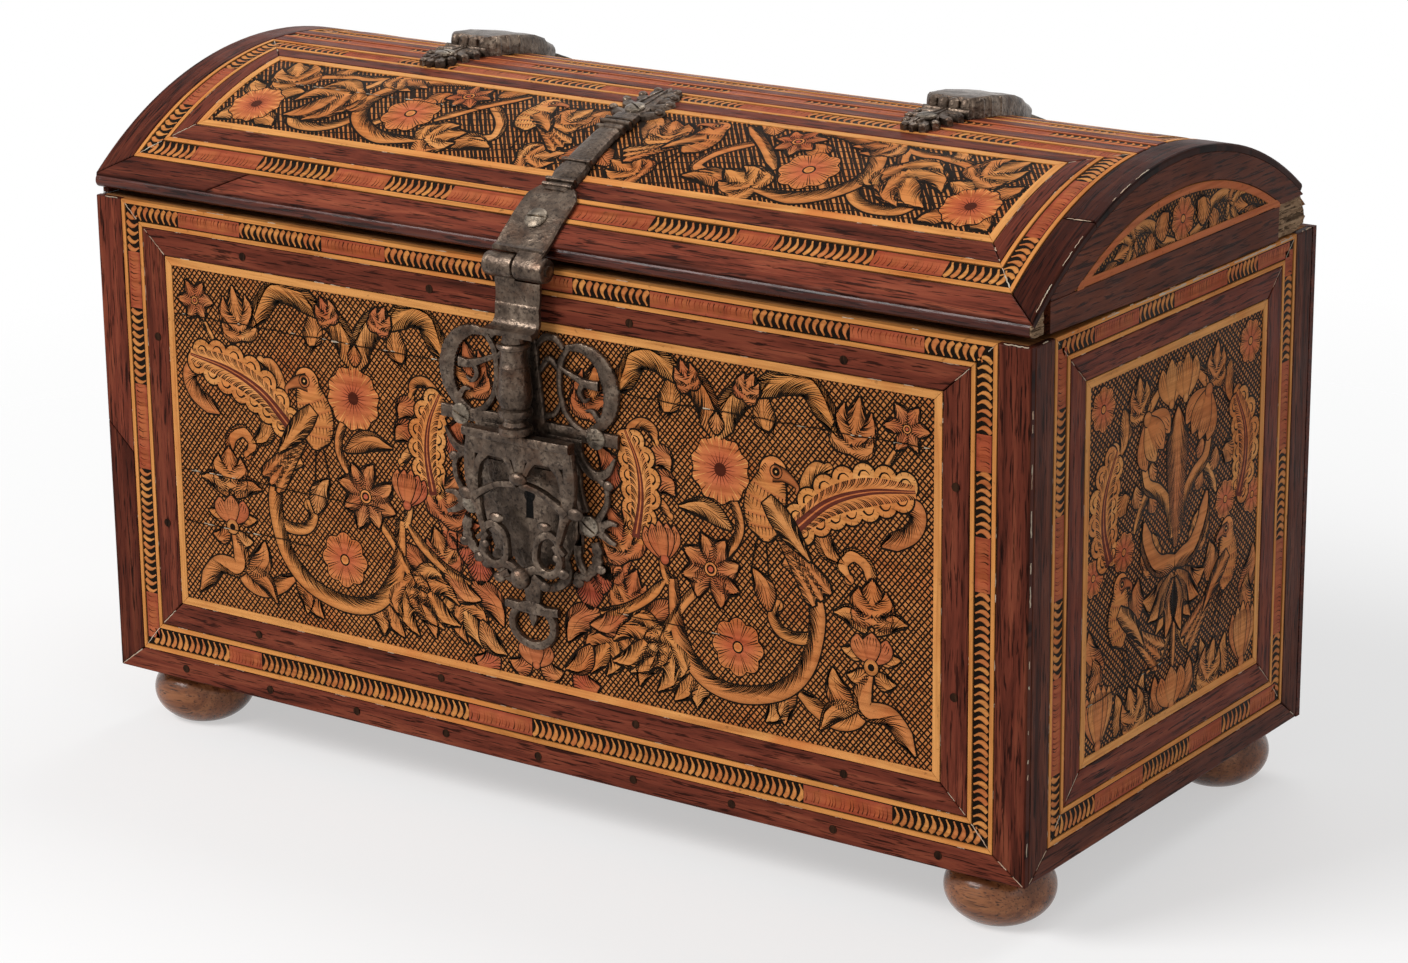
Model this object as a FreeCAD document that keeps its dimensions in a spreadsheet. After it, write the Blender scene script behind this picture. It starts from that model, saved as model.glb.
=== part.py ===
import FreeCAD, Part
import os
import re

# Casket with an arched lid, an inlaid facing on each side, and an iron hasp, lock and hinges.
# X runs along the length, -Y is the front and +Z is up.
# The origin is on the floor, under the middle of the overall outline.

Vector = FreeCAD.Vector
Rotation = FreeCAD.Rotation

doc = FreeCAD.newDocument("casket")

# Driving sizes in millimetres
SIZES = {
    "case_width": 450.0,
    "case_depth": 222.0,
    "case_height": 207.0,
    "board": 12.0,
    "facing": 3.0,
    "tongue": 4.0,
    "foot_height": 24.5,
    "foot_radius": 21.6,
    "foot_inset": 25.0,
    "tenon_radius": 8.0,
    "tenon_length": 9.0,
    "outer_side": 14.0,
    "outer_bottom": 10.5,
    "band_side": 11.0,
    "band_bottom": 12.5,
    "band_top": 10.5,
    "frame_side": 12.0,
    "frame_bottom": 11.5,
    "frame_top": 11.0,
    "peg_radius": 1.7,
    "peg_length": 8.0,
    "peg_proud": 0.2,
    "peg_top_count": 4,
    "peg_side_count": 2,
    "peg_outer_count": 9,
    "lid_edge": 9.0,
    "lid_rise": 42.0,
    "lid_gap_front": 3.0,
    "lid_gap_rear": 0.4,
    "rail_depth": 12.0,
    "rail_nose": 2.5,
    "stave": 9.0,
    "stave_count": 7,
    "lid_outer": 9.1,
    "lid_band": 10.5,
    "lid_frame": 8.0,
    "ridge_half": 4.5,
    "ridge_strip": 7.0,
    "lunette_margin": 14.0,
    "lunette_base": 5.3,
    "iron": 2.2,
    "plate_iron": 1.6,
    "nail_head": 4.5,
    "nail_head_height": 1.4,
    "nail_shank": 1.4,
    "nail_length": 7.0,
    "fit_gap": 0.05,
    "overcut": 1.0,
    "rivet": 1.0,
    "side_gap": 0.2,
    "hinge_spread": 118.0,
    "hinge_width": 24.0,
    "hinge_knuckle": 4.0,
    "hinge_pin": 1.6,
    "hinge_clear": 0.4,
    "hinge_leaf": 54.0,
    "hinge_leaf_end": 22.0,
    "hinge_strap_start": 4.0,
    "hinge_nail": 10.0,
    "hump_nail": 12.0,
    "hump_start": 6.0,
    "hump_length": 52.0,
    "hump_height": 8.5,
    "hump_width": 26.0,
    "hasp_width": 25.0,
    "hasp_neck": 12.0,
    "hasp_leaf_end": 13.0,
    "hasp_leaf_nail": 38.0,
    "hasp_wide_run": 20.0,
    "hasp_screw": 8.0,
    "collar_width": 17.0,
    "collar_run": 5.0,
    "barrel_width": 29.0,
    "hasp_knuckle": 5.0,
    "hasp_pin": 1.5,
    "hasp_clear": 0.8,
    "hasp_axis_height": 0.7,
    "hasp_plate_width": 21.6,
    "hasp_plate_length": 26.0,
    "lip_height": 3.0,
    "lip_reach": 9.0,
    "lip_width": 17.0,
    "baluster_length": 40.0,
    "baluster_radius": 7.0,
    "baluster_proud": 9.3,
    "shield_bar": 26.0,
    "shield_bar_height": 4.5,
    "shield_length": 56.0,
    "shield_top": 20.0,
    "shield_foot": 8.0,
    "shield_proud": 6.4,
    "shield_iron": 2.4,
    "boss_radius": 4.6,
    "staple_width": 3.2,
    "staple_height": 8.0,
    "staple_depth": 6.0,
    "staple_drop": 76.5,
    "staple_lift": 24.0,
    "way_gap": 1.0,
    "lock_bar": 42.0,
    "lock_bar_height": 8.0,
    "lock_bar_drop": 64.0,
    "lock_body": 30.0,
    "lock_body_drop": 113.0,
    "lobe_x": 26.5,
    "lobe_drop": 47.0,
    "lobe_radius": 14.0,
    "lobe_hole": 7.5,
    "lobe_foot": 6.0,
    "lobe_foot_x": 17.0,
    "lobe_foot_drop": 57.0,
    "lock_spine": 9.0,
    "lock_bar_end": 5.6,
    "lock_scallop": 9.0,
    "lock_scallop_x": 25.0,
    "lock_point": 18.5,
    "lock_point_drop": 110.0,
    "lock_hole": 5.5,
    "lock_hole_x": 18.0,
    "lock_hole_drop": 78.0,
    "foot_hole": 4.0,
    "foot_hole_x": 10.0,
    "foot_hole_drop": 119.0,
    "lock_ring_drop": 146.0,
    "lock_ring": 11.0,
    "lock_ring_hole": 6.5,
    "keyhole_drop": 96.0,
    "keyhole_radius": 2.5,
    "keyhole_slot": 3.6,
    "keyhole_length": 10.0,
    "lock_screw_drop": 100.0,
    "lock_screw_x": 33.0,
    "low_screw_x": 29.0,
    "mortise_half": 25.0,
    "mortise_depth": 11.0,
    "mortise_low_drop": 112.0,
    "mortise_top_drop": 69.0,
    "case_wall": 1.2,
    "key_post": 1.2,
    "talon": 2.0,
    "bolt_length": 19.0,
    "bolt_height": 5.0,
    "bolt_depth": 2.8,
    "spring_iron": 0.8,
}

# Sizes worked out from the driving sizes
DERIVED = {
    "half_width": "case_width / 2",
    "half_depth": "case_depth / 2",
    "rim_z": "foot_height + case_height",
    "spring_z": "rim_z + lid_edge",
    "arch": "(half_depth ^ 2 + lid_rise ^ 2) / (2 * lid_rise)",
    "arch_z": "spring_z + lid_rise - arch",
    "crown_z": "spring_z + lid_rise",
    "inner_x": "half_width - facing - board",
    "inner_y": "half_depth - facing - board",
    "stave_half": "half_width - facing - board",
    "hinge_y": "half_depth + hinge_clear + hinge_knuckle",
    "hinge_z": "rim_z + lid_gap_rear",
    "hasp_n": "hasp_clear + hasp_knuckle",
    "hasp_z": "rim_z + hasp_axis_height",
    "hasp_foot": "hasp_z - hasp_plate_length",
    "shield_z": "hasp_foot - baluster_length",
    "staple_z": "hasp_z - staple_drop",
    "bolt_n": "-staple_depth + case_wall + side_gap",
    "key_z": "rim_z - keyhole_drop",
    "front_reach": "baluster_proud + baluster_radius",
    "rear_reach": "hinge_clear + 2 * hinge_knuckle",
    "centre_y": "(front_reach - rear_reach) / 2",
}

CELL = {}


def put_sheet(name, table, lead):
    """One cell for each size, each with its name as alias."""
    page = doc.addObject("Spreadsheet::Sheet", name)
    for row, (alias, value) in enumerate(table.items(), start=1):
        CELL[alias] = name + "." + alias
        page.set("A%d" % row, alias)
        page.set("B%d" % row, lead + (bind(value) if lead else str(value)))
        page.setAlias("B%d" % row, alias)
    doc.recompute()


def bind(text):
    """The same formula, with each size's name led by its sheet."""
    return re.sub(r"[a-z_][a-z_0-9]*", lambda hit: CELL.get(hit.group(0), hit.group(0)), str(text))


put_sheet("Sizes", SIZES, "")
put_sheet("Derived", DERIVED, "=")


def tie(item, **formulas):
    """Bind properties of one object to formulas of the sheet's sizes."""
    for prop, text in formulas.items():
        item.setExpression(prop, bind(text))
    return item


def seat(item, at=("0", "0", "0"), turn=None):
    """Set the turn of an object as it stands and bind its position."""
    if turn is not None:
        item.Placement = FreeCAD.Placement(Vector(0, 0, 0), turn)
    for letter, text in zip("xyz", at):
        item.setExpression("Placement.Base." + letter, bind(text))
    return item


FACE_X = Rotation(Vector(0, 1, 0), 90)
FACE_Y = Rotation(Vector(1, 0, 0), -90)
TURNS = {"x": FACE_X, "y": FACE_Y, "z": None}

# A face's own coordinates are u to the right, v up and n outwards.
FRONT = Rotation(Vector(1, 0, 0), 90)
RIGHT = Rotation(Vector(1, 1, 1), 120)
LEFT = Rotation(Vector(0, 0, 1), 180) * RIGHT
BACK = Rotation(Vector(0, 0, 1), 180) * FRONT


def box(name, low, high):
    """Box between two corners, each given by three formulas."""
    item = doc.addObject("Part::Box", name)
    spans = ["(%s) - (%s)" % (b, a) for a, b in zip(low, high)]
    tie(item, Length=spans[0], Width=spans[1], Height=spans[2])
    return seat(item, low)


def rod(name, radius, length, at, along="z"):
    """Cylinder from a point along one axis."""
    item = doc.addObject("Part::Cylinder", name)
    tie(item, Radius=radius, Height=length)
    return seat(item, at, TURNS[along])


def cone(name, low, high, length, at, along="z"):
    item = doc.addObject("Part::Cone", name)
    tie(item, Radius1=low, Radius2=high, Height=length)
    return seat(item, at, TURNS[along])


def ball(name, radius, at):
    item = doc.addObject("Part::Sphere", name)
    tie(item, Radius=radius)
    return seat(item, at)


def bun(name, tall, wide, at):
    """Round body with its own height and width."""
    item = doc.addObject("Part::Ellipsoid", name)
    tie(item, Radius1=tall, Radius2=wide, Radius3=wide)
    return seat(item, at)


def less(name, base, tool):
    item = doc.addObject("Part::Cut", name)
    item.Base = base
    item.Tool = tool
    return item


def shared(name, base, tool):
    item = doc.addObject("Part::Common", name)
    item.Base = base
    item.Tool = tool
    return item


def joined(name, items):
    item = doc.addObject("Part::MultiFuse", name)
    item.Shapes = items
    item.Refine = True
    return item


def gathered(name, items):
    item = doc.addObject("Part::Compound", name)
    item.Links = items
    return item


NODES = []


def node(label, item, at=("0", "0", "0"), turn=None):
    """Make an object a sub-part of its own, set back by what stands out in front."""
    item.Label = label
    seat(item, (at[0], at[1] + " + centre_y", at[2]), turn)
    NODES.append(item)
    return item


def strip(name, length, width, cut_start, cut_end, thick, at, quarter):
    """Strip with its outer edge on the u axis and each end cut to its mitre."""
    item = doc.addObject("Part::Wedge", name)
    tie(item, Xmin="0", Ymin="0", Zmin="0", Xmax=length, Ymax=width, Zmax=thick)
    tie(item, X2min=cut_start, X2max="(%s) - (%s)" % (length, cut_end), Z2min="0", Z2max=thick)
    return seat(item, at, Rotation(Vector(0, 0, 1), 90 * quarter))


def ring(name, low, high, sides, thick, base="0"):
    """Mitred strips round a rectangle: bottom, right, top and left, where they have a width."""
    (u0, v0), (u1, v1) = low, high
    bottom, right, top, left = sides
    across = "(%s) - (%s)" % (u1, u0)
    upright = "(%s) - (%s)" % (v1, v0)
    runs = [
        (across, bottom, left, right, (u0, v0, base)),
        (upright, right, bottom, top, (u1, v0, base)),
        (across, top, right, left, (u1, v1, base)),
        (upright, left, top, bottom, (u0, v1, base)),
    ]
    made = []
    for quarter, (length, width, start, end, at) in enumerate(runs):
        if width != "0":
            made.append(strip("%s_%d" % (name, quarter), length, width, start, end, thick, at, quarter))
    return made


# Carcass boards, with a tongue all round the bottom and one at each end of the end boards
z_case = "foot_height"
board_x = "half_width - facing"
board_y = "half_depth - facing"
bottom_tongue = box(
    "bottom_tongue",
    ("-inner_x - tongue", "-inner_y - tongue", z_case + " + tongue"),
    ("inner_x + tongue", "inner_y + tongue", z_case + " + 2 * tongue"),
)
end_tongues = []
for side, sign in (("left", -1), ("right", 1)):
    near = "inner_x + tongue" if sign > 0 else "-inner_x - 2 * tongue"
    end_tongues.append(box(
        side + "_end_tongue",
        (near, "-inner_y - tongue", z_case),
        (near + " + tongue", "inner_y + tongue", "rim_z"),
    ))
tongues = joined("tongues", [bottom_tongue] + end_tongues)

front_plain = box(
    "front_plain", ("-(%s)" % board_x, "-(%s)" % board_y, z_case), (board_x, "-inner_y", "rim_z")
)
back_plain = box("back_plain", ("-(%s)" % board_x, "inner_y", z_case), (board_x, board_y, "rim_z"))
node("back_board", less("back_grooved", back_plain, tongues))

for side, tongue_piece in zip(("left", "right"), end_tongues):
    low_x = "inner_x" if side == "right" else "-(%s)" % board_x
    plain = box(
        side + "_plain", (low_x, "-inner_y", z_case), (low_x + " + board", "inner_y", "rim_z")
    )
    tongued = joined(side + "_tongued", [plain, tongue_piece])
    node(side + "_end_board", less(side + "_grooved", tongued, bottom_tongue))

bottom_plain = box(
    "bottom_plain", ("-inner_x", "-inner_y", z_case), ("inner_x", "inner_y", z_case + " + board")
)
foot_x = "(half_width - foot_inset)"
foot_y = "(half_depth - foot_inset)"
corners = []
for depth_name, depth_sign in (("front", "-"), ("rear", "")):
    for side_name, side_sign in (("left", "-"), ("right", "")):
        corners.append((depth_name + "_" + side_name + "_foot", side_sign + foot_x, depth_sign + foot_y))
sockets = [
    rod(name + "_socket", "tenon_radius", "tenon_length", (x, y, z_case)) for name, x, y in corners
]
bottom_whole = joined("bottom_whole", [bottom_plain, bottom_tongue])
node("bottom_board", less("bottom_bored", bottom_whole, joined("foot_sockets", sockets)))

# Turned feet: a bun cut flat on the floor and under the case, with a tenon on top
for name, x, y in corners:
    bulb = bun(name + "_bulb", "foot_height * 0.62", "foot_radius", (x, y, "foot_height * 0.52"))
    block = box(
        name + "_block",
        (x + " - foot_radius", y + " - foot_radius", "0"),
        (x + " + foot_radius", y + " + foot_radius", "foot_height"),
    )
    turned = shared(name + "_turned", bulb, block)
    tenon = rod(name + "_tenon", "tenon_radius", "foot_height / 2 + tenon_length", (x, y, "foot_height / 2"))
    node(name, joined(name + "_whole", [turned, tenon]))

# Facings of the front and the ends: outer strips, banding, inner frame and panel
outer = ("outer_bottom", "outer_side", "0", "outer_side")
band = ("band_bottom", "band_side", "band_top", "band_side")
frame = ("frame_bottom", "frame_side", "frame_top", "frame_side")


def inset(low, high, sides):
    """The rectangle that is left inside a ring."""
    bottom, right, top, left = sides
    return (
        ("%s + %s" % (low[0], left), "%s + %s" % (low[1], bottom)),
        ("%s - %s" % (high[0], right), "%s - %s" % (high[1], top)),
    )


FACES = {
    "front": ("half_width", FRONT, ("0", "-(half_depth - facing)", z_case)),
    "right": ("half_depth - facing", RIGHT, ("half_width - facing", "0", z_case)),
    "left": ("half_depth - facing", LEFT, ("-(half_width - facing)", "0", z_case)),
    "back": ("half_width", BACK, ("0", "half_depth - facing", z_case)),
}
for side, (half, turn, at) in FACES.items():
    low, high = ("-(%s)" % half, "0"), (half, "case_height")
    edge_run = ring(side + "_edge", low, high, outer, "facing")
    node(side + "_outer_strips", gathered(side + "_outer", edge_run), at, turn)
    low, high = inset(low, high, outer)
    if side == "back":
        plain = box("back_field", low + ("0",), high + ("facing",))
        node("back_panel", gathered("back_field_set", [plain]), at, turn)
        continue
    band_run = ring(side + "_line", low, high, band, "facing")
    node(side + "_inlay_band", gathered(side + "_band", band_run), at, turn)
    low, high = inset(low, high, band)
    frame_run = ring(side + "_rail", low, high, frame, "facing")
    node(side + "_inner_frame", gathered(side + "_inner", frame_run), at, turn)
    low, high = inset(low, high, frame)
    field = gathered(side + "_field_set", [box(side + "_field", low + ("0",), high + ("facing",))])
    if side == "front":
        front_field = seat(field, at, turn)
    else:
        node(side + "_inlay_panel", field, at, turn)

# Lock in the front: mortise, the staple's way, plate, case, bolt and spring
lock_at = ("0", "-half_depth", "0")
lock_low = "rim_z - mortise_low_drop"
lock_high = "rim_z - mortise_top_drop"
way_half = "staple_width / 2 + way_gap"
way_low = "staple_z - staple_height / 2 - way_gap"
way_high = "staple_z + staple_height / 2 + staple_lift"
mortise_local = box(
    "mortise", ("-mortise_half", lock_low, "-mortise_depth"), ("mortise_half", lock_high, "overcut")
)
way_local = box(
    "staple_way",
    ("-(%s)" % way_half, way_low, "-mortise_depth"),
    (way_half, way_high, "plate_iron + overcut"),
)
recess = joined("lock_recess", [mortise_local, way_local])
seat(recess, lock_at, FRONT)
node("front_board", less("front_mortised", less("front_grooved", front_plain, tongues), recess))
node("front_inlay_panel", less("front_field_open", front_field, recess))


def pad(name, low, high, floor="0", top="plate_iron"):
    """Flat bar of the lock plate between two corners on the face."""
    return box(name, low + (floor,), high + (top,))


def disc(name, radius, u, v, floor="0", thick="plate_iron"):
    return rod(name, radius, thick, (u, v, floor))


def below(drop):
    """Height that lies a given size under the rim."""
    return "rim_z - " + drop


def hole(name, radius, u, v):
    return disc(name, radius, u, v, "-overcut", "plate_iron + 2 * overcut")


bar_z = below("lock_bar_drop")
bar_low = bar_z + " - lock_bar_height / 2"
bar_high = bar_z + " + lock_bar_height / 2"
plate_parts = [
    pad("lock_cross", ("-lock_bar", bar_low), ("lock_bar", bar_high)),
    pad("lock_field", ("-lock_body", below("lock_body_drop")), ("lock_body", bar_z)),
    pad("lock_upright", ("-lock_spine", below("lock_ring_drop") + " + lock_ring_hole + overcut"),
        ("lock_spine", below("lobe_drop") + " + lobe_radius")),
    disc("lock_ring_outer", "lock_ring", "0", below("lock_ring_drop")),
    disc("lock_tail", "lock_point", "0", below("lock_point_drop")),
]
plate_holes = [
    hole("lock_ring_inner", "lock_ring_hole", "0", below("lock_ring_drop")),
    hole("keyhole_eye", "keyhole_radius", "0", "key_z"),
    pad("keyhole_way", ("-keyhole_slot / 2", "key_z - keyhole_length"), ("keyhole_slot / 2", "key_z"),
        "-overcut", "plate_iron + overcut"),
    way_local,
]
for tag, sign in (("left", "-"), ("right", "")):
    plate_parts += [
        disc("lobe_" + tag, "lobe_radius", sign + "lobe_x", below("lobe_drop")),
        disc("lobe_foot_" + tag, "lobe_foot", sign + "lobe_foot_x", below("lobe_foot_drop")),
        disc("bar_end_" + tag, "lock_bar_end", sign + "(lock_bar - lock_bar_height / 2)", bar_z),
        disc("scallop_" + tag, "lock_scallop", sign + "lock_scallop_x", below("lock_screw_drop")),
    ]
    plate_holes += [
        hole("lobe_hole_" + tag, "lobe_hole", sign + "lobe_x", below("lobe_drop")),
        hole("low_hole_" + tag, "lock_hole", sign + "lock_hole_x", below("lock_hole_drop")),
        hole("foot_hole_" + tag, "foot_hole", sign + "foot_hole_x", below("foot_hole_drop")),
    ]
plate_whole = joined("lock_plate_whole", plate_parts)
plate_cuts = joined("lock_plate_holes", plate_holes)
node("lock_plate", less("lock_plate_pierced", plate_whole, plate_cuts), lock_at, FRONT)


def nail(name, u, v, floor, head="nail_head", length="nail_length"):
    """Nail along n: a flat head standing on a floor and a shank below it."""
    top = rod(name + "_head", head, "nail_head_height", (u, v, floor))
    shank = rod(name + "_shank", "nail_shank", length, (u, v, "%s - (%s)" % (floor, length)))
    return joined(name, [top, shank])


screws = []
for tag, sign in (("left", "-"), ("right", "")):
    screws.append(nail("bar_screw_" + tag, sign + "lock_screw_x", bar_z, "plate_iron"))
    screws.append(nail("low_screw_" + tag, sign + "low_screw_x", below("lock_screw_drop"), "plate_iron"))
node("lock_plate_screws", gathered("lock_screws", screws), lock_at, FRONT)

tray = box(
    "lock_tray",
    ("-mortise_half", lock_low, "-mortise_depth"),
    ("mortise_half", lock_high, "0"),
)
tray_room = box(
    "lock_tray_room",
    ("-mortise_half + case_wall", lock_low + " + case_wall", "-mortise_depth + case_wall"),
    ("mortise_half - case_wall", lock_high + " - case_wall", "overcut"),
)
guides = []
guide_levels = {
    "low": "staple_z - bolt_height / 2 - side_gap - case_wall",
    "high": "staple_z + bolt_height / 2 + side_gap",
}
for tag, v in guide_levels.items():
    guides.append(box(
        "bolt_guide_" + tag,
        ("staple_width / 2 + 2 * way_gap", v, "-mortise_depth + case_wall / 2"),
        ("mortise_half - case_wall / 2", v + " + case_wall", "bolt_n + bolt_depth"),
    ))
post_at = ("0", "key_z", "-mortise_depth + case_wall / 2")
key_post = rod("key_pin", "key_post", "mortise_depth - case_wall / 2", post_at)
tray_shell = joined("lock_tray_fitted", [less("lock_tray_hollow", tray, tray_room), key_post] + guides)
node("lock_case", less("lock_case_open", tray_shell, way_local), lock_at, FRONT)

bolt_start = "staple_width / 2 + way_gap"
bolt_bar = box(
    "bolt_bar",
    (bolt_start, "staple_z - bolt_height / 2", "bolt_n"),
    (bolt_start + " + bolt_length", "staple_z + bolt_height / 2", "bolt_n + bolt_depth"),
)
talon_at = (bolt_start + " + bolt_length * 0.6", "staple_z - bolt_height / 2", "bolt_n")
talon = rod("bolt_talon", "talon", "bolt_depth", talon_at)
node("lock_bolt", less("bolt_notched", bolt_bar, talon), lock_at, FRONT)
spring_leaf = box(
    "spring_leaf",
    ("staple_width / 2 + 3 * way_gap", "staple_z - bolt_height / 2", "-mortise_depth + case_wall"),
    ("mortise_half - case_wall", "staple_z + bolt_height / 2", "-mortise_depth + case_wall + spring_iron"),
)
node("bolt_spring", gathered("spring_set", [spring_leaf]), lock_at, FRONT)

# Pegs through the facings of the front, along the inner frame and the outer bottom strip
peg_floor = "peg_proud - peg_length"
pegs = []


def peg_row(name, count, low, high, level, upright):
    for step in range(count):
        along = "(%s) + ((%s) - (%s)) * %d / %d" % (low, high, low, 2 * step + 1, 2 * count)
        u, v = (level, along) if upright else (along, level)
        pegs.append(rod("%s_%d" % (name, step), "peg_radius", "peg_length", (u, v, peg_floor)))


frame_left = "outer_side + band_side + frame_side / 2"
frame_low = "foot_height + outer_bottom + band_bottom + frame_bottom / 2"
frame_high = "rim_z - band_top - frame_top / 2"
frame_ends = ("-half_width + " + frame_left, "half_width - (%s)" % frame_left)
outer_ends = ("-half_width + outer_side", "half_width - outer_side")
outer_level = "foot_height + outer_bottom / 2"
peg_row("peg_top", SIZES["peg_top_count"], frame_ends[0], frame_ends[1], frame_high, False)
peg_row("peg_low", SIZES["peg_top_count"], frame_ends[0], frame_ends[1], frame_low, False)
peg_row("peg_outer", SIZES["peg_outer_count"], outer_ends[0], outer_ends[1], outer_level, False)
peg_row("peg_left", SIZES["peg_side_count"], frame_low, frame_high, frame_ends[0], True)
peg_row("peg_right", SIZES["peg_side_count"], frame_low, frame_high, frame_ends[1], True)
node("case_pegs", gathered("pegs", pegs), lock_at, FRONT)

# Lid: rails, arched ends and staves


def drum(name, radius, half, at_x="0"):
    """Cylinder on the arch's axis, from one end to the other."""
    return rod(name, radius, "2 * (%s)" % half, ("%s - (%s)" % (at_x, half), "0", "arch_z"), "x")


def shell(name, low, high, half="half_width + overcut"):
    """Hollow drum between two radii."""
    return less(name, drum(name + "_out", high, half), drum(name + "_in", low, half + " + overcut"))


def rail(name, low, sign):
    """Rail of the lid with its lower outer edge rounded; the sign tells front from back."""
    face = sign + "half_depth"
    set_in = sign + "(half_depth - rail_nose)"
    inner = sign + "(half_depth - rail_depth)"
    nose = low + " + rail_nose"
    body, cap = ((set_in, inner), (face, set_in)) if sign else ((inner, set_in), (set_in, face))
    return joined(name, [
        box(name + "_body", ("-half_width", body[0], low), ("half_width", body[1], "spring_z")),
        box(name + "_face", ("-half_width", cap[0], nose), ("half_width", cap[1], "spring_z")),
        rod(name + "_nose", "rail_nose", "case_width", ("-half_width", set_in, nose), "x"),
    ])


node("lid_front_rail", rail("front_rail", "rim_z + lid_gap_front", "-"))
node("lid_back_rail", rail("back_rail", "rim_z + lid_gap_rear", ""))


def end_board(name, start, thick):
    """Arched board: a foot with a sloping underside between the rails and a segment above them."""
    foot = doc.addObject("Part::Wedge", name + "_foot")
    span = "case_depth - 2 * rail_depth"
    tie(foot, Xmin="0", Xmax=thick, X2min="0", X2max=thick, Ymin="0", Ymax=span)
    tie(foot, Zmin="lid_gap_front", Zmax="lid_edge", Z2min="lid_gap_rear", Z2max="lid_edge")
    seat(foot, (start, "-half_depth + rail_depth", "rim_z"))
    disc_x = "(%s) + (%s) / 2" % (start, thick)
    wheel = drum(name + "_wheel", "arch - facing", "(%s) / 2" % thick, disc_x)
    above = box(
        name + "_above",
        (start, "-half_depth", "spring_z"),
        ("(%s) + (%s)" % (start, thick), "half_depth", "crown_z"),
    )
    return joined(name + "_board", [foot, shared(name + "_segment", wheel, above)])


facings = []
lunettes = []
for side, sign in (("left", -1), ("right", 1)):
    start = "inner_x" if sign > 0 else "-(%s)" % board_x
    node("lid_%s_end" % side, end_board("lid_%s_end" % side, start, "board"))
    start = board_x if sign > 0 else "-half_width"
    wheel = drum("lunette_wheel_" + side, "arch - lunette_margin", "facing / 2", start + " + facing / 2")
    above = box(
        "lunette_above_" + side,
        (start, "-half_depth", "spring_z + lunette_base"),
        (start + " + facing", "half_depth", "crown_z"),
    )
    lunette = shared("lunette_" + side, wheel, above)
    lunettes.append(lunette)
    facings.append(less("end_facing_" + side, end_board("lid_%s_facing" % side, start, "facing"), lunette))
node("lid_end_facings", gathered("end_facings", facings))
node("lid_lunettes", gathered("lunette_pair", lunettes))

stave_shell = shell("stave_shell", "arch - facing - stave", "arch - facing", "stave_half")
staves = []
for step in range(SIZES["stave_count"]):
    edge = "-half_depth + case_depth * %d / stave_count"
    slice_box = box(
        "stave_slice_%d" % step,
        ("-stave_half", edge % step, "spring_z"),
        ("stave_half", edge % (step + 1), "crown_z"),
    )
    staves.append(shared("stave_%d" % step, stave_shell, slice_box))
node("lid_staves", gathered("stave_set", staves))

# Facings of the lid, laid out in plan and cut to the arch
lid_skin = shell("lid_skin", "arch - facing", "arch")


def curved(name, pieces):
    """Plan pieces cut to the lid's facing."""
    return gathered(name, [shared(piece.Name + "_bent", lid_skin, piece) for piece in pieces])


skin_tall = "lid_rise + overcut"
lid_outer = ("lid_outer", "outer_side", "lid_outer", "outer_side")
lid_band = ("lid_band", "band_side", "lid_band", "band_side")
lid_frame = ("lid_frame", "lid_frame", "lid_frame", "lid_frame")
low, high = ("-half_width", "-half_depth"), ("half_width", "half_depth")
lid_edge_run = ring("lid_edge_run", low, high, lid_outer, skin_tall, "spring_z")
node("lid_outer_strips", curved("lid_outer_set", lid_edge_run))
field_x = "half_width - outer_side"
ridge_box = box(
    "ridge_line", ("-(%s)" % field_x, "-ridge_half", "spring_z"), (field_x, "ridge_half", "crown_z + overcut")
)
node("lid_ridge_band", shared("ridge_line_bent", lid_skin, ridge_box))
strips = []
for slope, sign in (("front", "-"), ("back", "")):
    edges = (sign + "ridge_half", sign + "(ridge_half + ridge_strip)")
    near, far = edges if slope == "back" else edges[::-1]
    strips.append(box(
        "ridge_run_" + slope, ("-(%s)" % field_x, near, "spring_z"), (field_x, far, "crown_z + overcut")
    ))
node("lid_ridge_strips", curved("ridge_strip_set", strips))
for slope in ("front", "back"):
    inner, outside = "(ridge_half + ridge_strip)", "(half_depth - lid_outer)"
    v0, v1 = (inner, outside) if slope == "back" else ("-" + outside, "-" + inner)
    low, high = ("-(%s)" % field_x, v0), (field_x, v1)
    name = "lid_%s_" % slope
    band_run = ring(name + "line", low, high, lid_band, skin_tall, "spring_z")
    node(name + "band", curved(name + "band_set", band_run))
    low, high = inset(low, high, lid_band)
    frame_run = ring(name + "rail", low, high, lid_frame, skin_tall, "spring_z")
    node(name + "frame", curved(name + "frame_set", frame_run))
    low, high = inset(low, high, lid_frame)
    field = box(name + "field", low + ("spring_z",), high + ("crown_z + overcut",))
    node(name + "panel", shared(name + "field_bent", lid_skin, field))

# Ironwork that lies on the lid: leaf-shaped straps for the hinges and the hasp
strap_shell = shell("strap_shell", "arch", "arch + iron")
hump_shell = shell("hump_shell", "arch", "arch + hump_height")
head_shell = shell("head_shell", "arch + iron", "arch + iron + nail_head_height")
shank_shell = shell("shank_shell", "arch - nail_length", "arch + iron + nail_head_height / 2")
flat_tall = "lid_rise + 2 * hump_height"


def plan_box(name, low, high):
    return box(name, low + ("spring_z",), high + ("spring_z + " + flat_tall,))


def plan_disc(name, radius, x, y):
    return rod(name, radius, flat_tall, (x, y, "spring_z"))


# Lobes of a leaf as shares of its width: how far out, how far from the tip, and radius
LOBES = ((0.28, 0.62, 0.24), (0.34, 1.12, 0.26), (0.2, 1.55, 0.2))


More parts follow.
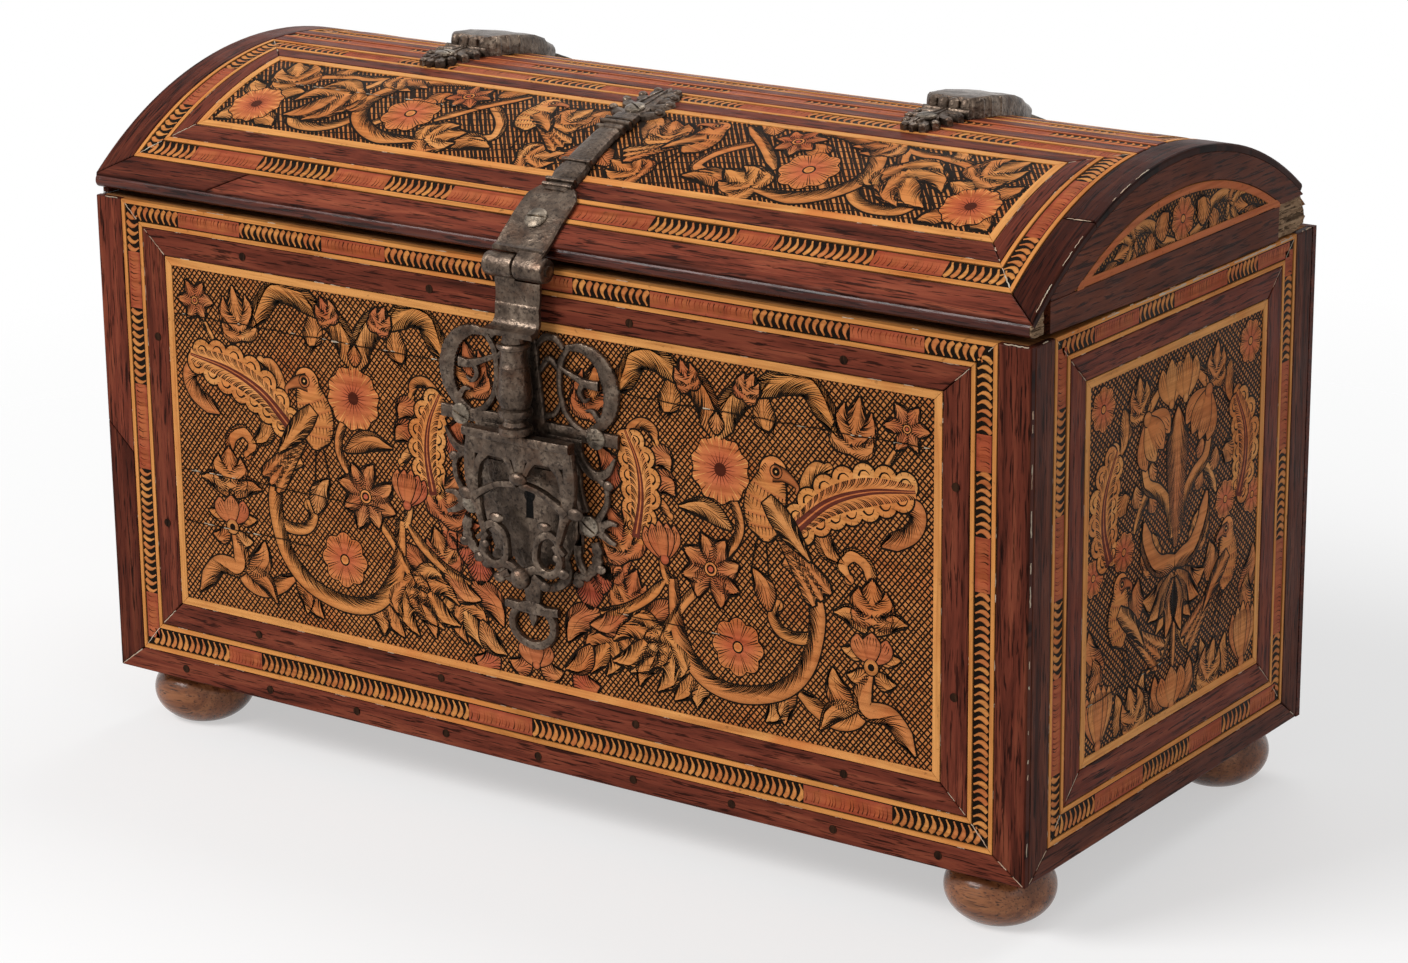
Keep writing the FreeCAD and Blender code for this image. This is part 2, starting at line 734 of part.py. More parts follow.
def leaf(name, x, tip, way, wide):
    """Lobed leaf in plan, from its tip back along the strap."""
    lobes = [plan_disc(name + "_tip", "%s * 0.22" % wide, x, "%s + %s * 0.2 * (%s)" % (tip, wide, way))]
    stem_end = "%s + %s * 1.4 * (%s)" % (tip, wide, way)
    ends = (tip, stem_end) if way == "1" else (stem_end, tip)
    side = "%s * 0.15" % wide
    lobes.append(plan_box(name + "_stem", ("%s - %s" % (x, side), ends[0]), ("%s + %s" % (x, side), ends[1])))
    for tag, sign in (("a", "-"), ("b", "+")):
        for step, (out, back, size) in enumerate(LOBES):
            lobes.append(plan_disc(
                "%s_lobe_%s%d" % (name, tag, step),
                "%s * %g" % (wide, size),
                "%s %s %s * %g" % (x, sign, wide, out),
                "%s + %s * %g * (%s)" % (tip, wide, back, way),
            ))
    return lobes


def barrel(name, radius, bore, spans, y, z, x):
    """Knuckles of one half of a hinge and the bore for the pin."""
    made = []
    for step, (start, length) in enumerate(spans):
        at = ("%s + %s" % (x, start), y, z)
        made.append(rod("%s_%d" % (name, step), radius, length, at, "x"))
    hole = rod(name + "_bore", bore, "4 * hinge_width", (x + " - 2 * hinge_width", y, z), "x")
    return made, hole


nails = []


def lid_nail(name, x, y, head="nail_head"):
    """Nail in the lid, with its head bent to the strap under it."""
    top = shared(name + "_top", head_shell, plan_disc(name + "_head", head, x, y))
    shank = shared(name + "_pin", shank_shell, plan_disc(name + "_shank", "nail_shank", x, y))
    nails.append(joined(name, [top, shank]))


def pin(name, radius, length, x, y, z):
    """Hinge pin with a riveted head at each end."""
    half = "(%s) / 2" % length
    return joined(name, [
        rod(name + "_rod", radius, length, (x + " - " + half, y, z), "x"),
        rod(name + "_head_a", "%s * 1.5" % radius, "rivet", (x + " - %s - rivet" % half, y, z), "x"),
        rod(name + "_head_b", "%s * 1.5" % radius, "rivet", (x + " + " + half, y, z), "x"),
    ])


# Rear hinges: the strap carries the middle knuckle and the leaf on the case the outer two
third = "hinge_width / 3"
half = "hinge_width / 2"
middle_span = [("-hinge_width / 6 + side_gap", "hinge_width / 3 - 2 * side_gap")]
outer_spans = [("-hinge_width / 2", third), ("hinge_width / 6", third)]
leaf_nails = []
for side, sign in (("left", "-"), ("right", "")):
    x = sign + "hinge_spread"
    name = side + "_hinge_"
    long_strap = plan_box(
        name + "long", (x + " - " + half, "-hinge_strap_start"), (x + " + " + half, "half_depth + 2 * iron")
    )
    lobes = leaf(name + "end", x, "-hinge_leaf_end", "1", "hinge_width")
    flat = shared(name + "flat", strap_shell, joined(name + "flat_plan", [long_strap] + lobes))
    hump = shared(name + "hump", hump_shell, plan_box(
        name + "hump_plan",
        (x + " - hump_width / 2", "hump_start"),
        (x + " + hump_width / 2", "hump_start + hump_length"),
    ))
    drop = box(
        name + "drop",
        (x + " - " + half, "half_depth", "hinge_z + hinge_knuckle + 2 * hinge_clear"),
        (x + " + " + half, "half_depth + iron", "spring_z + iron"),
    )
    tab = box(
        name + "tab",
        (x + " - hinge_width / 6 + side_gap", "half_depth", "hinge_z"),
        (x + " + hinge_width / 6 - side_gap", "half_depth + iron", "spring_z"),
    )
    bore_radius = "hinge_pin + fit_gap"
    middle, bore = barrel(name + "middle", "hinge_knuckle", bore_radius, middle_span, "hinge_y", "hinge_z", x)
    strap = joined(name + "strap_whole", [flat, hump, drop, tab] + middle)
    node(side + "_hinge_strap", less(name + "strap_bored", strap, bore))
    lid_nail(name + "nail_front", x, "-hinge_nail")
    lid_nail(name + "nail_back", x, "hump_start + hump_length + hump_nail")

    ends, bore = barrel(name + "outer", "hinge_knuckle", bore_radius, outer_spans, "hinge_y", "hinge_z", x)
    plate = box(
        name + "plate",
        (x + " - " + half, "half_depth", "hinge_z - hinge_leaf"),
        (x + " + " + half, "half_depth + iron", "hinge_z - hinge_knuckle - 2 * hinge_clear"),
    )
    for step, (start, length) in enumerate(outer_spans):
        ends.append(box(
            "%sleaf_tab_%d" % (name, step),
            ("%s + %s" % (x, start), "half_depth", "hinge_z - hinge_leaf / 2"),
            ("%s + %s + %s" % (x, start, length), "half_depth + iron", "hinge_z"),
        ))
    foot = rod(name + "leaf_foot", half, "iron", (x, "half_depth", "hinge_z - hinge_leaf"), "y")
    whole = joined(name + "leaf_whole", [plate, foot] + ends)
    node(side + "_hinge_leaf", less(name + "leaf_bored", whole, bore))
    node(side + "_hinge_pin", pin(name + "axle", "hinge_pin", "hinge_width", x, "hinge_y", "hinge_z"))
    for step, share in enumerate((0.4, 1.0)):
        level = "hinge_z - hinge_leaf * %g" % share
        head_at = (x, "half_depth + iron", level)
        head = rod("%sleaf_head_%d" % (name, step), "nail_head", "nail_head_height", head_at, "y")
        shank_at = (x, "half_depth + iron - nail_length", level)
        shank = rod("%sleaf_shank_%d" % (name, step), "nail_shank", "nail_length", shank_at, "y")
        leaf_nails.append(joined("%sleaf_nail_%d" % (name, step), [head, shank]))
node("hinge_leaf_nails", gathered("leaf_nail_set", leaf_nails))

# Hasp strap on the lid, with the right-hand knuckle of the hasp's hinge
hasp_y = "-half_depth - hasp_n"
hasp_half = "hasp_width / 2"
hasp_span = "barrel_width / 2 - side_gap"
hasp_plan = leaf("hasp_leaf", "0", "-hasp_leaf_end", "-1", "hasp_width")
hasp_plan += [
    plan_box("hasp_neck_plan", ("-hasp_neck / 2", "-half_depth"), ("hasp_neck / 2", "-hasp_leaf_nail")),
    plan_box("hasp_wide_plan", ("-hasp_width / 2", "-half_depth - 2 * iron"),
             (hasp_half, "-half_depth + hasp_wide_run")),
    plan_box("hasp_collar_plan", ("-collar_width / 2", "-half_depth + hasp_wide_run"),
             ("collar_width / 2", "-half_depth + hasp_wide_run + collar_run")),
]
hasp_flat = shared("hasp_flat", strap_shell, joined("hasp_plan", hasp_plan))
hasp_drop = box(
    "hasp_drop",
    ("-hasp_width / 2", "-half_depth - iron", "hasp_z + hasp_knuckle + hasp_clear"),
    (hasp_half, "-half_depth", "spring_z + iron"),
)
hasp_bore_radius = "hasp_pin + fit_gap"
hasp_ends, hasp_bore = barrel(
    "hasp_right", "hasp_knuckle", hasp_bore_radius, [("side_gap", hasp_span)], hasp_y, "hasp_z", "0"
)
hasp_ends.append(box(
    "hasp_right_tab", ("side_gap", "-half_depth - iron", "hasp_z"), (hasp_half, "-half_depth", "spring_z")
))
hasp_strap_whole = joined("hasp_strap_whole", [hasp_flat, hasp_drop] + hasp_ends)
node("hasp_strap", less("hasp_strap_bored", hasp_strap_whole, hasp_bore))
lid_nail("hasp_leaf_nail_a", "0", "-hasp_leaf_nail")
lid_nail("hasp_wide_screw", "0", "-half_depth + hasp_screw", "nail_head * 1.1")
node("lid_hardware_nails", gathered("lid_nails", nails))
node("hasp_hinge_pin", pin("hasp_axle", "hasp_pin", "barrel_width", "0", hasp_y, "hasp_z"))

# Hasp: hinged plate with its lip, turned baluster, openwork shield and staple
hasp_left = [("-barrel_width / 2", hasp_span)]
middle, bore = barrel("hasp_left", "hasp_knuckle", hasp_bore_radius, hasp_left, hasp_y, "hasp_z", "0")
plate_near = hasp_y + " - iron / 2"
plate_far = hasp_y + " + iron / 2"
hasp_tab = box(
    "hasp_left_tab",
    ("-hasp_plate_width / 2", plate_near, "hasp_z - 2 * hasp_knuckle"),
    ("-side_gap", plate_far, "hasp_z"),
)
hasp_sheet = box(
    "hasp_sheet",
    ("-hasp_plate_width / 2", plate_near, "hasp_foot"),
    ("hasp_plate_width / 2", plate_far, "hasp_z - hasp_knuckle - hasp_clear"),
)
lip = box(
    "hasp_lip",
    ("-lip_width / 2", hasp_y + " - lip_reach", "hasp_foot"),
    ("lip_width / 2", plate_far, "hasp_foot + lip_height"),
)
hasp_plate_whole = joined("hasp_plate_whole", [hasp_tab, hasp_sheet, lip] + middle)
node("hasp_plate", less("hasp_plate_bored", hasp_plate_whole, bore))

stem = ("0", "-half_depth - baluster_proud")


def turned_cone(name, low, length, start, end):
    """Tapered length of the baluster, in shares of its length and radius."""
    at = stem + ("shield_z + baluster_length * %g" % low,)
    radii = ["baluster_radius * %g" % share for share in (start, end)]
    return cone(name, radii[0], radii[1], "baluster_length * %g" % length, at)


def turned_bulb(name, low, length, wide):
    at = stem + ("shield_z + baluster_length * %g" % (low + length / 2),)
    return bun(name, "baluster_length * %g" % (length / 2), "baluster_radius * %g" % wide, at)


node("hasp_baluster", joined("baluster", [
    turned_cone("baluster_foot", 0.0, 0.1, 1.0, 0.55),
    turned_cone("baluster_waist", 0.08, 0.84, 0.5, 0.42),
    turned_bulb("baluster_ring", 0.17, 0.12, 0.85),
    turned_bulb("baluster_vase", 0.27, 0.5, 0.95),
    turned_bulb("baluster_neck_ring", 0.78, 0.1, 0.75),
    turned_cone("baluster_head", 0.9, 0.1, 0.5, 0.8),
]))

shield_back = "-half_depth - shield_proud"
shield_near = shield_back + " - shield_iron"


def shield_disc(name, radius, x, drop, grow="0"):
    at = (x, shield_near + " - (%s)" % grow, "shield_z - (%s)" % drop)
    return rod(name, radius, "shield_iron + 2 * (%s)" % grow, at, "y")


shield_body = doc.addObject("Part::Wedge", "shield_body")
tie(shield_body, Xmin="-shield_top", Xmax="shield_top", X2min="-shield_foot", X2max="shield_foot")
tie(shield_body, Ymin="0", Ymax="shield_length", Zmin="0", Zmax="shield_iron", Z2min="0", Z2max="shield_iron")
seat(shield_body, ("0", shield_near, "shield_z"), Rotation(Vector(1, 0, 0), -90))
boss_z = "shield_z - shield_length - boss_radius * 0.7"
shield_parts = [
    shield_body,
    box(
        "shield_bar_block",
        ("-shield_bar", shield_near + " - shield_iron", "shield_z - shield_bar_height"),
        ("shield_bar", shield_back, "shield_z"),
    ),
    ball("shield_boss", "boss_radius", ("0", shield_back + " - shield_iron / 2", boss_z)),
]
loop_drop = "shield_length * 0.88"
drop_drop = "shield_length * 0.27"
shield_holes = [shield_disc("shield_key_view", "shield_top * 0.35", "0", "shield_length * 0.56", "overcut")]
for tag, sign in (("left", "-"), ("right", "")):
    loop_x = sign + "shield_top * 0.65"
    drop_x = sign + "shield_top * 0.48"
    ear_x = sign + "(shield_bar - shield_bar_height)"
    shield_parts.append(shield_disc("shield_loop_" + tag, "shield_foot", loop_x, loop_drop))
    shield_parts.append(shield_disc("shield_ear_" + tag, "shield_bar_height", ear_x, "shield_bar_height"))
    shield_holes.append(shield_disc("shield_loop_in_" + tag, "shield_foot / 2", loop_x, loop_drop, "overcut"))
    shield_holes.append(shield_disc("shield_drop_" + tag, "shield_top / 4", drop_x, drop_drop, "overcut"))
shield_cuts = joined("shield_openings", shield_holes)
node("hasp_shield", less("shield_pierced", joined("shield_whole", shield_parts), shield_cuts))

staple_bar = box(
    "staple_bar",
    ("-staple_width / 2", shield_back, "staple_z - staple_height / 2"),
    ("staple_width / 2", "-half_depth + staple_depth", "staple_z + staple_height / 2"),
)
eye_edge = "-half_depth - bolt_n - bolt_depth"
staple_eye = box(
    "staple_eye",
    ("-staple_width", eye_edge + " - side_gap", "staple_z - bolt_height / 2 - side_gap"),
    ("staple_width", eye_edge + " + bolt_depth + side_gap", "staple_z + bolt_height / 2 + side_gap"),
)
node("hasp_staple", less("staple_eyed", staple_bar, staple_eye))

# Build, check every object and write one file for each sub-part
doc.recompute()
for item in doc.Objects:
    faults = [word for word in item.State if word in ("Invalid", "Error")]
    shape = getattr(item, "Shape", None)
    if faults or (shape is not None and (shape.isNull() or not shape.isValid())):
        raise RuntimeError("%s does not build: %s" % (item.Label, faults))
os.makedirs("parts", exist_ok=True)
for item in NODES:
    item.Shape.exportStep("parts/%s.step" % item.Label)
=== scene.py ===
import math
import random

import bmesh
import bpy
from mathutils import Matrix, Vector, noise


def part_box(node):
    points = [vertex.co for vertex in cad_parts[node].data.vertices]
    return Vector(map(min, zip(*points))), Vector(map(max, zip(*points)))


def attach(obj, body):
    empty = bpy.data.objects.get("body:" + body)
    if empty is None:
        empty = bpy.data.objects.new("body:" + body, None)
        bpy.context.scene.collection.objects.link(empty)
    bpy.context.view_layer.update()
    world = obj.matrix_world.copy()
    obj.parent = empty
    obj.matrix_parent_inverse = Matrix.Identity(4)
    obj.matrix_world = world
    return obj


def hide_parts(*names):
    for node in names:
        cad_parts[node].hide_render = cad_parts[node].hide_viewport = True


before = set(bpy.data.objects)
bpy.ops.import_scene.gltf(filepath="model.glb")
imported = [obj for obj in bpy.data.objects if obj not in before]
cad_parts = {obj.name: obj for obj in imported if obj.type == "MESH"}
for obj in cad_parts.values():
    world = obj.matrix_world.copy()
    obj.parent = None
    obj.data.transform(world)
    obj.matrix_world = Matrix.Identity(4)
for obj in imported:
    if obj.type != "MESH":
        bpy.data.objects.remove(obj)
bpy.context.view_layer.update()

# Sizes in millimetres, read from the frame
MM = 0.001


def box_side(node, corner, axis):
    """One side of a CAD node's box: corner 0 is the lowest and 1 the highest, axis 0 to 2 is x to z."""
    return round(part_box(node)[corner][axis] / MM, 2)


HALF_W = box_side("right_outer_strips", 1, 0)
WIDTH = 2 * HALF_W
FRONT_Y = box_side("front_outer_strips", 0, 1)
BACK_Y = box_side("back_outer_strips", 1, 1)
CENTRE_Y = round((FRONT_Y + BACK_Y) / 2, 2)
DEPTH = BACK_Y - FRONT_Y
UNDERSIDE = box_side("front_outer_strips", 0, 2)
CASE_H = box_side("front_outer_strips", 1, 2) - UNDERSIDE
FACING = round(box_side("front_outer_strips", 1, 1) - FRONT_Y, 2)

# the lid's arch rises by a share of a circle from its rails to its crown
CROWN_Z = box_side("lid_outer_strips", 1, 2)
ARCH_RISE = CROWN_Z - box_side("lid_outer_strips", 0, 2)
ARCH_R = round((DEPTH ** 2 / 4 + ARCH_RISE ** 2) / (2 * ARCH_RISE), 2)
ARCH_Z = round(CROWN_Z - ARCH_R, 2)
ARCH_HALF = math.radians(round(math.degrees(math.asin(DEPTH / 2 / ARCH_R)), 2))
ARC = 2 * ARCH_HALF * ARCH_R

# heights of the inlay's layers, counted outwards from the ground of a panel
GROUND_N = -0.46
LEVEL = 0.026


def srgb(r, g, b):
    """A colour written as 0-255 screen values, in linear light."""
    out = []
    for c in (r, g, b):
        c /= 255.0
        out.append(c / 12.92 if c <= 0.04045 else ((c + 0.055) / 1.055) ** 2.4)
    return tuple(out)


def blend(a, b, t):
    return tuple(x + (y - x) * t for x, y in zip(a, b))


GOLD = srgb(217, 147, 80)
PALE = srgb(232, 172, 106)
AMBER = srgb(194, 114, 66)
RED = srgb(178, 84, 61)
DEEP_RED = srgb(150, 62, 40)
PURPLE = srgb(104, 50, 38)
MASTIC = srgb(26, 18, 11)
SCORCH = srgb(46, 27, 14)
GROUND = srgb(190, 122, 68)
FILLER = srgb(190, 180, 160)


# Faces of the casket: u runs along a face, v up it, n out of it; s runs up over the lid
def on_front(u, v, n):
    return (u - HALF_W, FRONT_Y - n, UNDERSIDE + v)


def on_right(u, v, n):
    return (HALF_W + n, FRONT_Y + u, UNDERSIDE + v)


def on_left(u, v, n):
    return (-HALF_W - n, BACK_Y - u, UNDERSIDE + v)


def on_lid(u, s, n):
    phi = ARCH_HALF - s / ARCH_R
    r = ARCH_R + n
    return (u - HALF_W, CENTRE_Y - r * math.sin(phi), ARCH_Z + r * math.cos(phi))


# Lines in a face's own plane
def curve(points, step=1.2):
    """A smooth line through the points, sampled about every step."""
    pts = [Vector(p) for p in points]
    if len(pts) == 2:
        count = max(2, int((pts[1] - pts[0]).length / step) + 1)
        return [pts[0].lerp(pts[1], i / count) for i in range(count + 1)]
    ends = [2 * pts[0] - pts[1]] + pts + [2 * pts[-1] - pts[-2]]
    out = []
    for i in range(1, len(ends) - 2):
        p0, p1, p2, p3 = ends[i - 1:i + 3]
        count = max(2, int((p2 - p1).length / step) + 1)
        for k in range(count):
            t = k / count
            out.append(0.5 * (2 * p1 + (p2 - p0) * t + (2 * p0 - 5 * p1 + 4 * p2 - p3) * t * t
                              + (3 * p1 - p0 - 3 * p2 + p3) * t ** 3))
    out.append(pts[-1])
    return out


def sides(path):
    """The unit tangent and left-hand normal at each point of a line."""
    out = []
    for i in range(len(path)):
        d = path[min(i + 1, len(path) - 1)] - path[max(i - 1, 0)]
        d = d.normalized() if d.length > 1e-9 else Vector((1.0, 0.0))
        out.append((d, left_of(d)))
    return out


def run_lengths(path):
    total = [0.0]
    for a, b in zip(path, path[1:]):
        total.append(total[-1] + (b - a).length)
    return total


def taper(t, head=0.0, tail=0.0, top=0.4):
    """A leaf's half width along its length: head and tail widths, 1 at the place called top."""
    if t < top:
        return head + (1 - head) * math.sin(0.5 * math.pi * t / top)
    return tail + (1 - tail) * math.cos(0.5 * math.pi * (t - top) / (1 - top))


def at_share(value, t):
    """A value that is the same everywhere or a function of the share t."""
    return value(t) if callable(value) else value


def left_of(d):
    """A direction turned a quarter to the left."""
    return Vector((-d.y, d.x))


def unit(angle):
    return Vector((math.cos(angle), math.sin(angle)))


def turns(count):
    """Even angles once around."""
    return [2 * math.pi * k / count for k in range(count)]


def spread(start, end, count):
    """Even places from start to end, both included."""
    return [start + (end - start) * i / count for i in range(count + 1)]


# Meshes laid on a face
PLAIN_LINE = (0.0, 1.0)
SOFT_LINE = (0.0, 0.25, 0.75, 1.0)
TILE_AREA = 1e-7
GRAIN_STEP_U, GRAIN_STEP_V = 531, 97


class Sheet:
    """Collects faces drawn on a face of the casket (u, v, n) and makes them one mesh."""

    def __init__(self, place):
        self.place = place
        self.verts = []
        self.faces = []
        self.tints = []
        self.grain = []
        self.lift = 0.0

    def at(self, p, n, tint, grain=None):
        self.verts.append((p[0], p[1], n))
        self.tints.append(tint)
        self.grain.append(grain if grain else (p[0], p[1]))
        return len(self.verts) - 1

    def face(self, ids):
        """Adds a face that looks outwards; one without area is left out."""
        area = 0.0
        for a, b in zip(ids, ids[1:] + ids[:1]):
            pa, pb = self.verts[a], self.verts[b]
            area += pa[0] * pb[1] - pb[0] * pa[1]
        if abs(area) > TILE_AREA:
            self.faces.append(ids if area > 0 else ids[::-1])

    def height(self, level):
        return GROUND_N + self.lift + LEVEL * level

    def ribbon(self, path, half, level, tint, edge=None, columns=SOFT_LINE, right=None):
        """A band along a line: half is its half width, right that of its right side where it differs,
        edge its colour at the rims."""
        n = self.height(level)
        along = run_lengths(path)
        total = along[-1] or 1.0
        rows = []
        for p, (_, q), s in zip(path, sides(path), along):
            t = s / total
            a = at_share(half, t)
            b = at_share(right, t) if right else a
            colour = at_share(tint, t)
            row = []
            for c in columns:
                shade = blend(colour, edge, abs(2 * c - 1) ** 2) if edge else colour
                row.append(self.at(p + q * (-b + (a + b) * c), n, shade))
            rows.append(row)
        for r0, r1 in zip(rows, rows[1:]):
            for k in range(len(columns) - 1):
                self.face([r0[k], r1[k], r1[k + 1], r0[k + 1]])

    def stroke(self, points, width, level, tint=MASTIC, tail=0.0):
        """A cut line, widest at its start and tapering to its tail."""
        half = 0.5 * width
        path = curve(points, 1.6)
        self.ribbon(path, lambda t: half * (1 - t * (1 - tail)), level, tint, columns=PLAIN_LINE)

    def ring(self, centre, radius, share, n, tint, count):
        """The ids of points around a centre; radius is a number or a function of the angle."""
        return [self.at(centre + unit(a) * (at_share(radius, a) * share), n, tint) for a in turns(count)]

    def fan(self, centre, radius, level, tint, rim=None, count=28, rings=(0.35, 0.7, 1.0)):
        """A round or lobed patch with its own colour at the rim."""
        n = self.height(level)
        centre = Vector(centre)
        hub = self.at(centre, n, tint)
        last = None
        for share in rings:
            ring = self.ring(centre, radius, share, n, blend(tint, rim, share ** 2) if rim else tint, count)
            for i in range(count):
                j = (i + 1) % count
                self.face([last[i], ring[i], ring[j], last[j]] if last else [hub, ring[i], ring[j]])
            last = ring

    def annulus(self, centre, outer, inner, level, tint, count=20):
        n = self.height(level)
        near, far = [self.ring(Vector(centre), r, 1.0, n, tint, count) for r in (inner, outer)]
        for i in range(count):
            j = (i + 1) % count
            self.face([near[i], far[i], far[j], near[j]])

    def strip(self, corners, top=0.0, round_=0.6, cell=6.0, tint=(1, 1, 1), rim=0.45, seed=0.0, wear=0.06):
        """A closed mitred strip of wood with rounded edges: its corners run along its outer edge, then
        back along its inner edge."""
        p0, p1, q1, q0 = [Vector(c) for c in corners]
        length = max((p1 - p0).length, (q1 - q0).length)
        width = ((q0 + q1) / 2 - (p0 + p1) / 2).length
        lines = []
        for size in (length, width):
            count = max(1, int((size - 2 * round_) / cell + 0.5))
            inner = [round_ + (size - 2 * round_) * i / count for i in range(count + 1)]
            lines.append([0.0, 0.3 * round_] + inner + [size - 0.3 * round_, size])
        base = len(self.verts)
        rows, columns = len(lines[0]), len(lines[1])
        axis = (p1 - p0).normalized()
        for back in (False, True):
            for a in lines[0]:
                for c in lines[1]:
                    share = a / length
                    p = p0.lerp(p1, share).lerp(q0.lerp(q1, share), c / width)
                    edge = min(a, length - a, c, width - c)
                    n = -FACING if back else worn_height(p, top, edge, round_, seed, wear)
                    shade = 1 - (1 - rim) * max(0.0, 1 - edge / (1.4 * round_))
                    grain = ((p - p0).dot(axis) + GRAIN_STEP_U * seed, c + GRAIN_STEP_V * seed)
                    self.at(p, n, tuple(shade * x for x in tint), grain)
        layer = rows * columns

        def idx(i, j):
            return base + i * columns + j

        for i in range(rows - 1):
            for j in range(columns - 1):
                top_face = [idx(i, j), idx(i + 1, j), idx(i + 1, j + 1), idx(i, j + 1)]
                self.faces.append(top_face)
                self.faces.append([f + layer for f in top_face][::-1])
        rim_ids = ([idx(i, 0) for i in range(rows)] + [idx(rows - 1, j) for j in range(1, columns)]
                   + [idx(i, columns - 1) for i in range(rows - 2, -1, -1)]
                   + [idx(0, j) for j in range(columns - 2, 0, -1)])
        for a, b in zip(rim_ids, rim_ids[1:] + rim_ids[:1]):
            self.faces.append([a + layer, b + layer, b, a])

    def piece(self, name, material, body, slot, node=None):
        """The object on a body, with its tints and its grain; it stands for a node where one is given."""
        mesh = bpy.data.meshes.new(name)
        mesh.from_pydata([tuple(MM * c for c in self.place(*v)) for v in self.verts], [], self.faces)
        tints = mesh.color_attributes.new("tint", 'FLOAT_COLOR', 'POINT')
        tints.data.foreach_set("color", [c for t in self.tints for c in (*t, 1.0)])
        flat = [c * MM for loop in mesh.loops for c in self.grain[loop.vertex_index]]
        mesh.uv_layers.new(name="grain").data.foreach_set("uv", flat)
        mesh.update()
        add_piece(mesh, material, body, node)


def worn_height(p, top, edge, round_, seed, wear):
    """The height of a strip's surface, worn unevenly and rounded towards its edge."""
    gap = max(0.0, 1 - edge / round_)
    n = top - round_ * (1 - math.sqrt(max(0.0, 1 - gap * gap)))
    spot = seed + 1
    worn = noise.noise(Vector((p.x * 0.05 + 17.3 * spot, p.y * 0.05 - 9.1 * spot, 3.7 * spot)))
    return n + (wear * min(0.0, worn - 0.6) if edge > 0 else -wear)


def add_piece(mesh, material, body, node=None):
    """One visible piece of the casket."""
    piece = bpy.data.objects.new(mesh.name, mesh)
    bpy.context.scene.collection.objects.link(piece)
    mesh.materials.append(material)
    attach(piece, body)
    if node:
        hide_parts(node)


def corners_of(rect):
    u0, v0, u1, v1 = rect
    return (u0, v0), (u1, v0), (u1, v1), (u0, v1)


def inside(outer, widths):
    u0, v0, u1, v1 = outer
    left, bottom, right, top = widths
    return (u0 + left, v0 + bottom, u1 - right, v1 - top)


def ring_runs(outer, widths):
    """The four mitred strips of a rectangular ring: bottom, right, top, left."""
    a, b, c, d = corners_of(outer)
    e, f, g, h = corners_of(inside(outer, widths))
    return [(a, b, f, e), (b, c, g, f), (c, d, h, g), (d, a, e, h)]


def shrunk(corners, gap):
    """The corners of a strip drawn in by gap on every side."""
    pts = [Vector(c) for c in corners]
    middle = sum(pts, Vector((0.0, 0.0))) / 4
    out = []
    for p in pts:
        shift = [math.copysign(min(gap, abs(d)), d) for d in middle - p]
        out.append(p + Vector(shift))
    return out


# Materials
class Graph:
    """The nodes of a material or of the world."""

    def __init__(self, owner):
        owner.use_nodes = True
        self.owner = owner
        self.tree = owner.node_tree

    def find(self, kind):
        return next(n for n in self.tree.nodes if n.type == kind)

    def add(self, kind, inputs=None, **settings):
        node = self.tree.nodes.new(kind)
        for key, value in settings.items():
            setattr(node, key, value)
        for key, value in (inputs or {}).items():
            if isinstance(value, bpy.types.NodeSocket):
                self.tree.links.new(value, node.inputs[key])
            else:
                node.inputs[key].default_value = value
        return node

    def math(self, operation, a, b):
        return self.add('ShaderNodeMath', {0: a, 1: b}, operation=operation).outputs[0]

    def speckle(self, stretch, source, detail=4.0, rough=0.6, warp=0.0):
        """Noise stretched by three scales: 'grain' follows the strip's own map, 'object' the frame."""
        if source == 'grain':
            vector = self.add('ShaderNodeUVMap', uv_map="grain").outputs[0]
        else:
            vector = self.add('ShaderNodeTexCoord').outputs['Object']
        spot = self.add('ShaderNodeMapping', {'Vector': vector, 'Scale': stretch}).outputs[0]
        return self.add('ShaderNodeTexNoise', {'Vector': spot, 'Scale': 1.0, 'Detail': detail,
                                               'Roughness': rough, 'Distortion': warp}).outputs[0]

    def ramp(self, fac, stops):
        node = self.add('ShaderNodeValToRGB', {'Fac': fac})
        while len(node.color_ramp.elements) < len(stops):
            node.color_ramp.elements.new(0.5)
        for element, (place, colour) in zip(node.color_ramp.elements, stops):
            element.position = place
            element.color = (*colour, 1.0)
        return node.outputs[0]

    def level(self, fac, low, high, start=0.0, end=1.0):
        """A value between low and high, carried over to between start and end."""
        return self.add('ShaderNodeMapRange', {'Value': fac, 'From Min': low, 'From Max': high,
                                               'To Min': start, 'To Max': end}).outputs[0]

    def mix(self, fac, a, b, kind='MIX'):
        node = self.add('ShaderNodeMix', {0: fac}, data_type='RGBA', blend_type=kind)
        for index, value in ((6, a), (7, b)):
            if isinstance(value, bpy.types.NodeSocket):
                self.tree.links.new(value, node.inputs[index])
            else:
                node.inputs[index].default_value = (*value, 1.0)
        return node.outputs[2]

    def tint(self):
        return self.add('ShaderNodeVertexColor', layer_name="tint").outputs[0]

    def wire(self, colour, rough, bump, bump_height, specular, metal=0.0, coat=0.0):
        """Joins the shader to its colour, roughness and relief, and returns the material."""
        relief = self.add('ShaderNodeBump', {'Height': bump, 'Distance': bump_height, 'Strength': 1.0})
        shader = self.find('BSDF_PRINCIPLED').inputs
        for name, source in (('Base Color', colour), ('Roughness', rough), ('Normal', relief.outputs[0])):
            self.tree.links.new(source, shader[name])
        for name, value in (('Metallic', metal), ('Specular IOR Level', specular), ('Coat Weight', coat),
                            ('Coat Roughness', 0.2)):
            shader[name].default_value = value
        return self.owner


WAX_SHINE = 0.035
PORES = (70.0, 1500.0)
FLECKS = (48.0, 640.0)
PORE_START, PORE_END = 0.58, 0.66


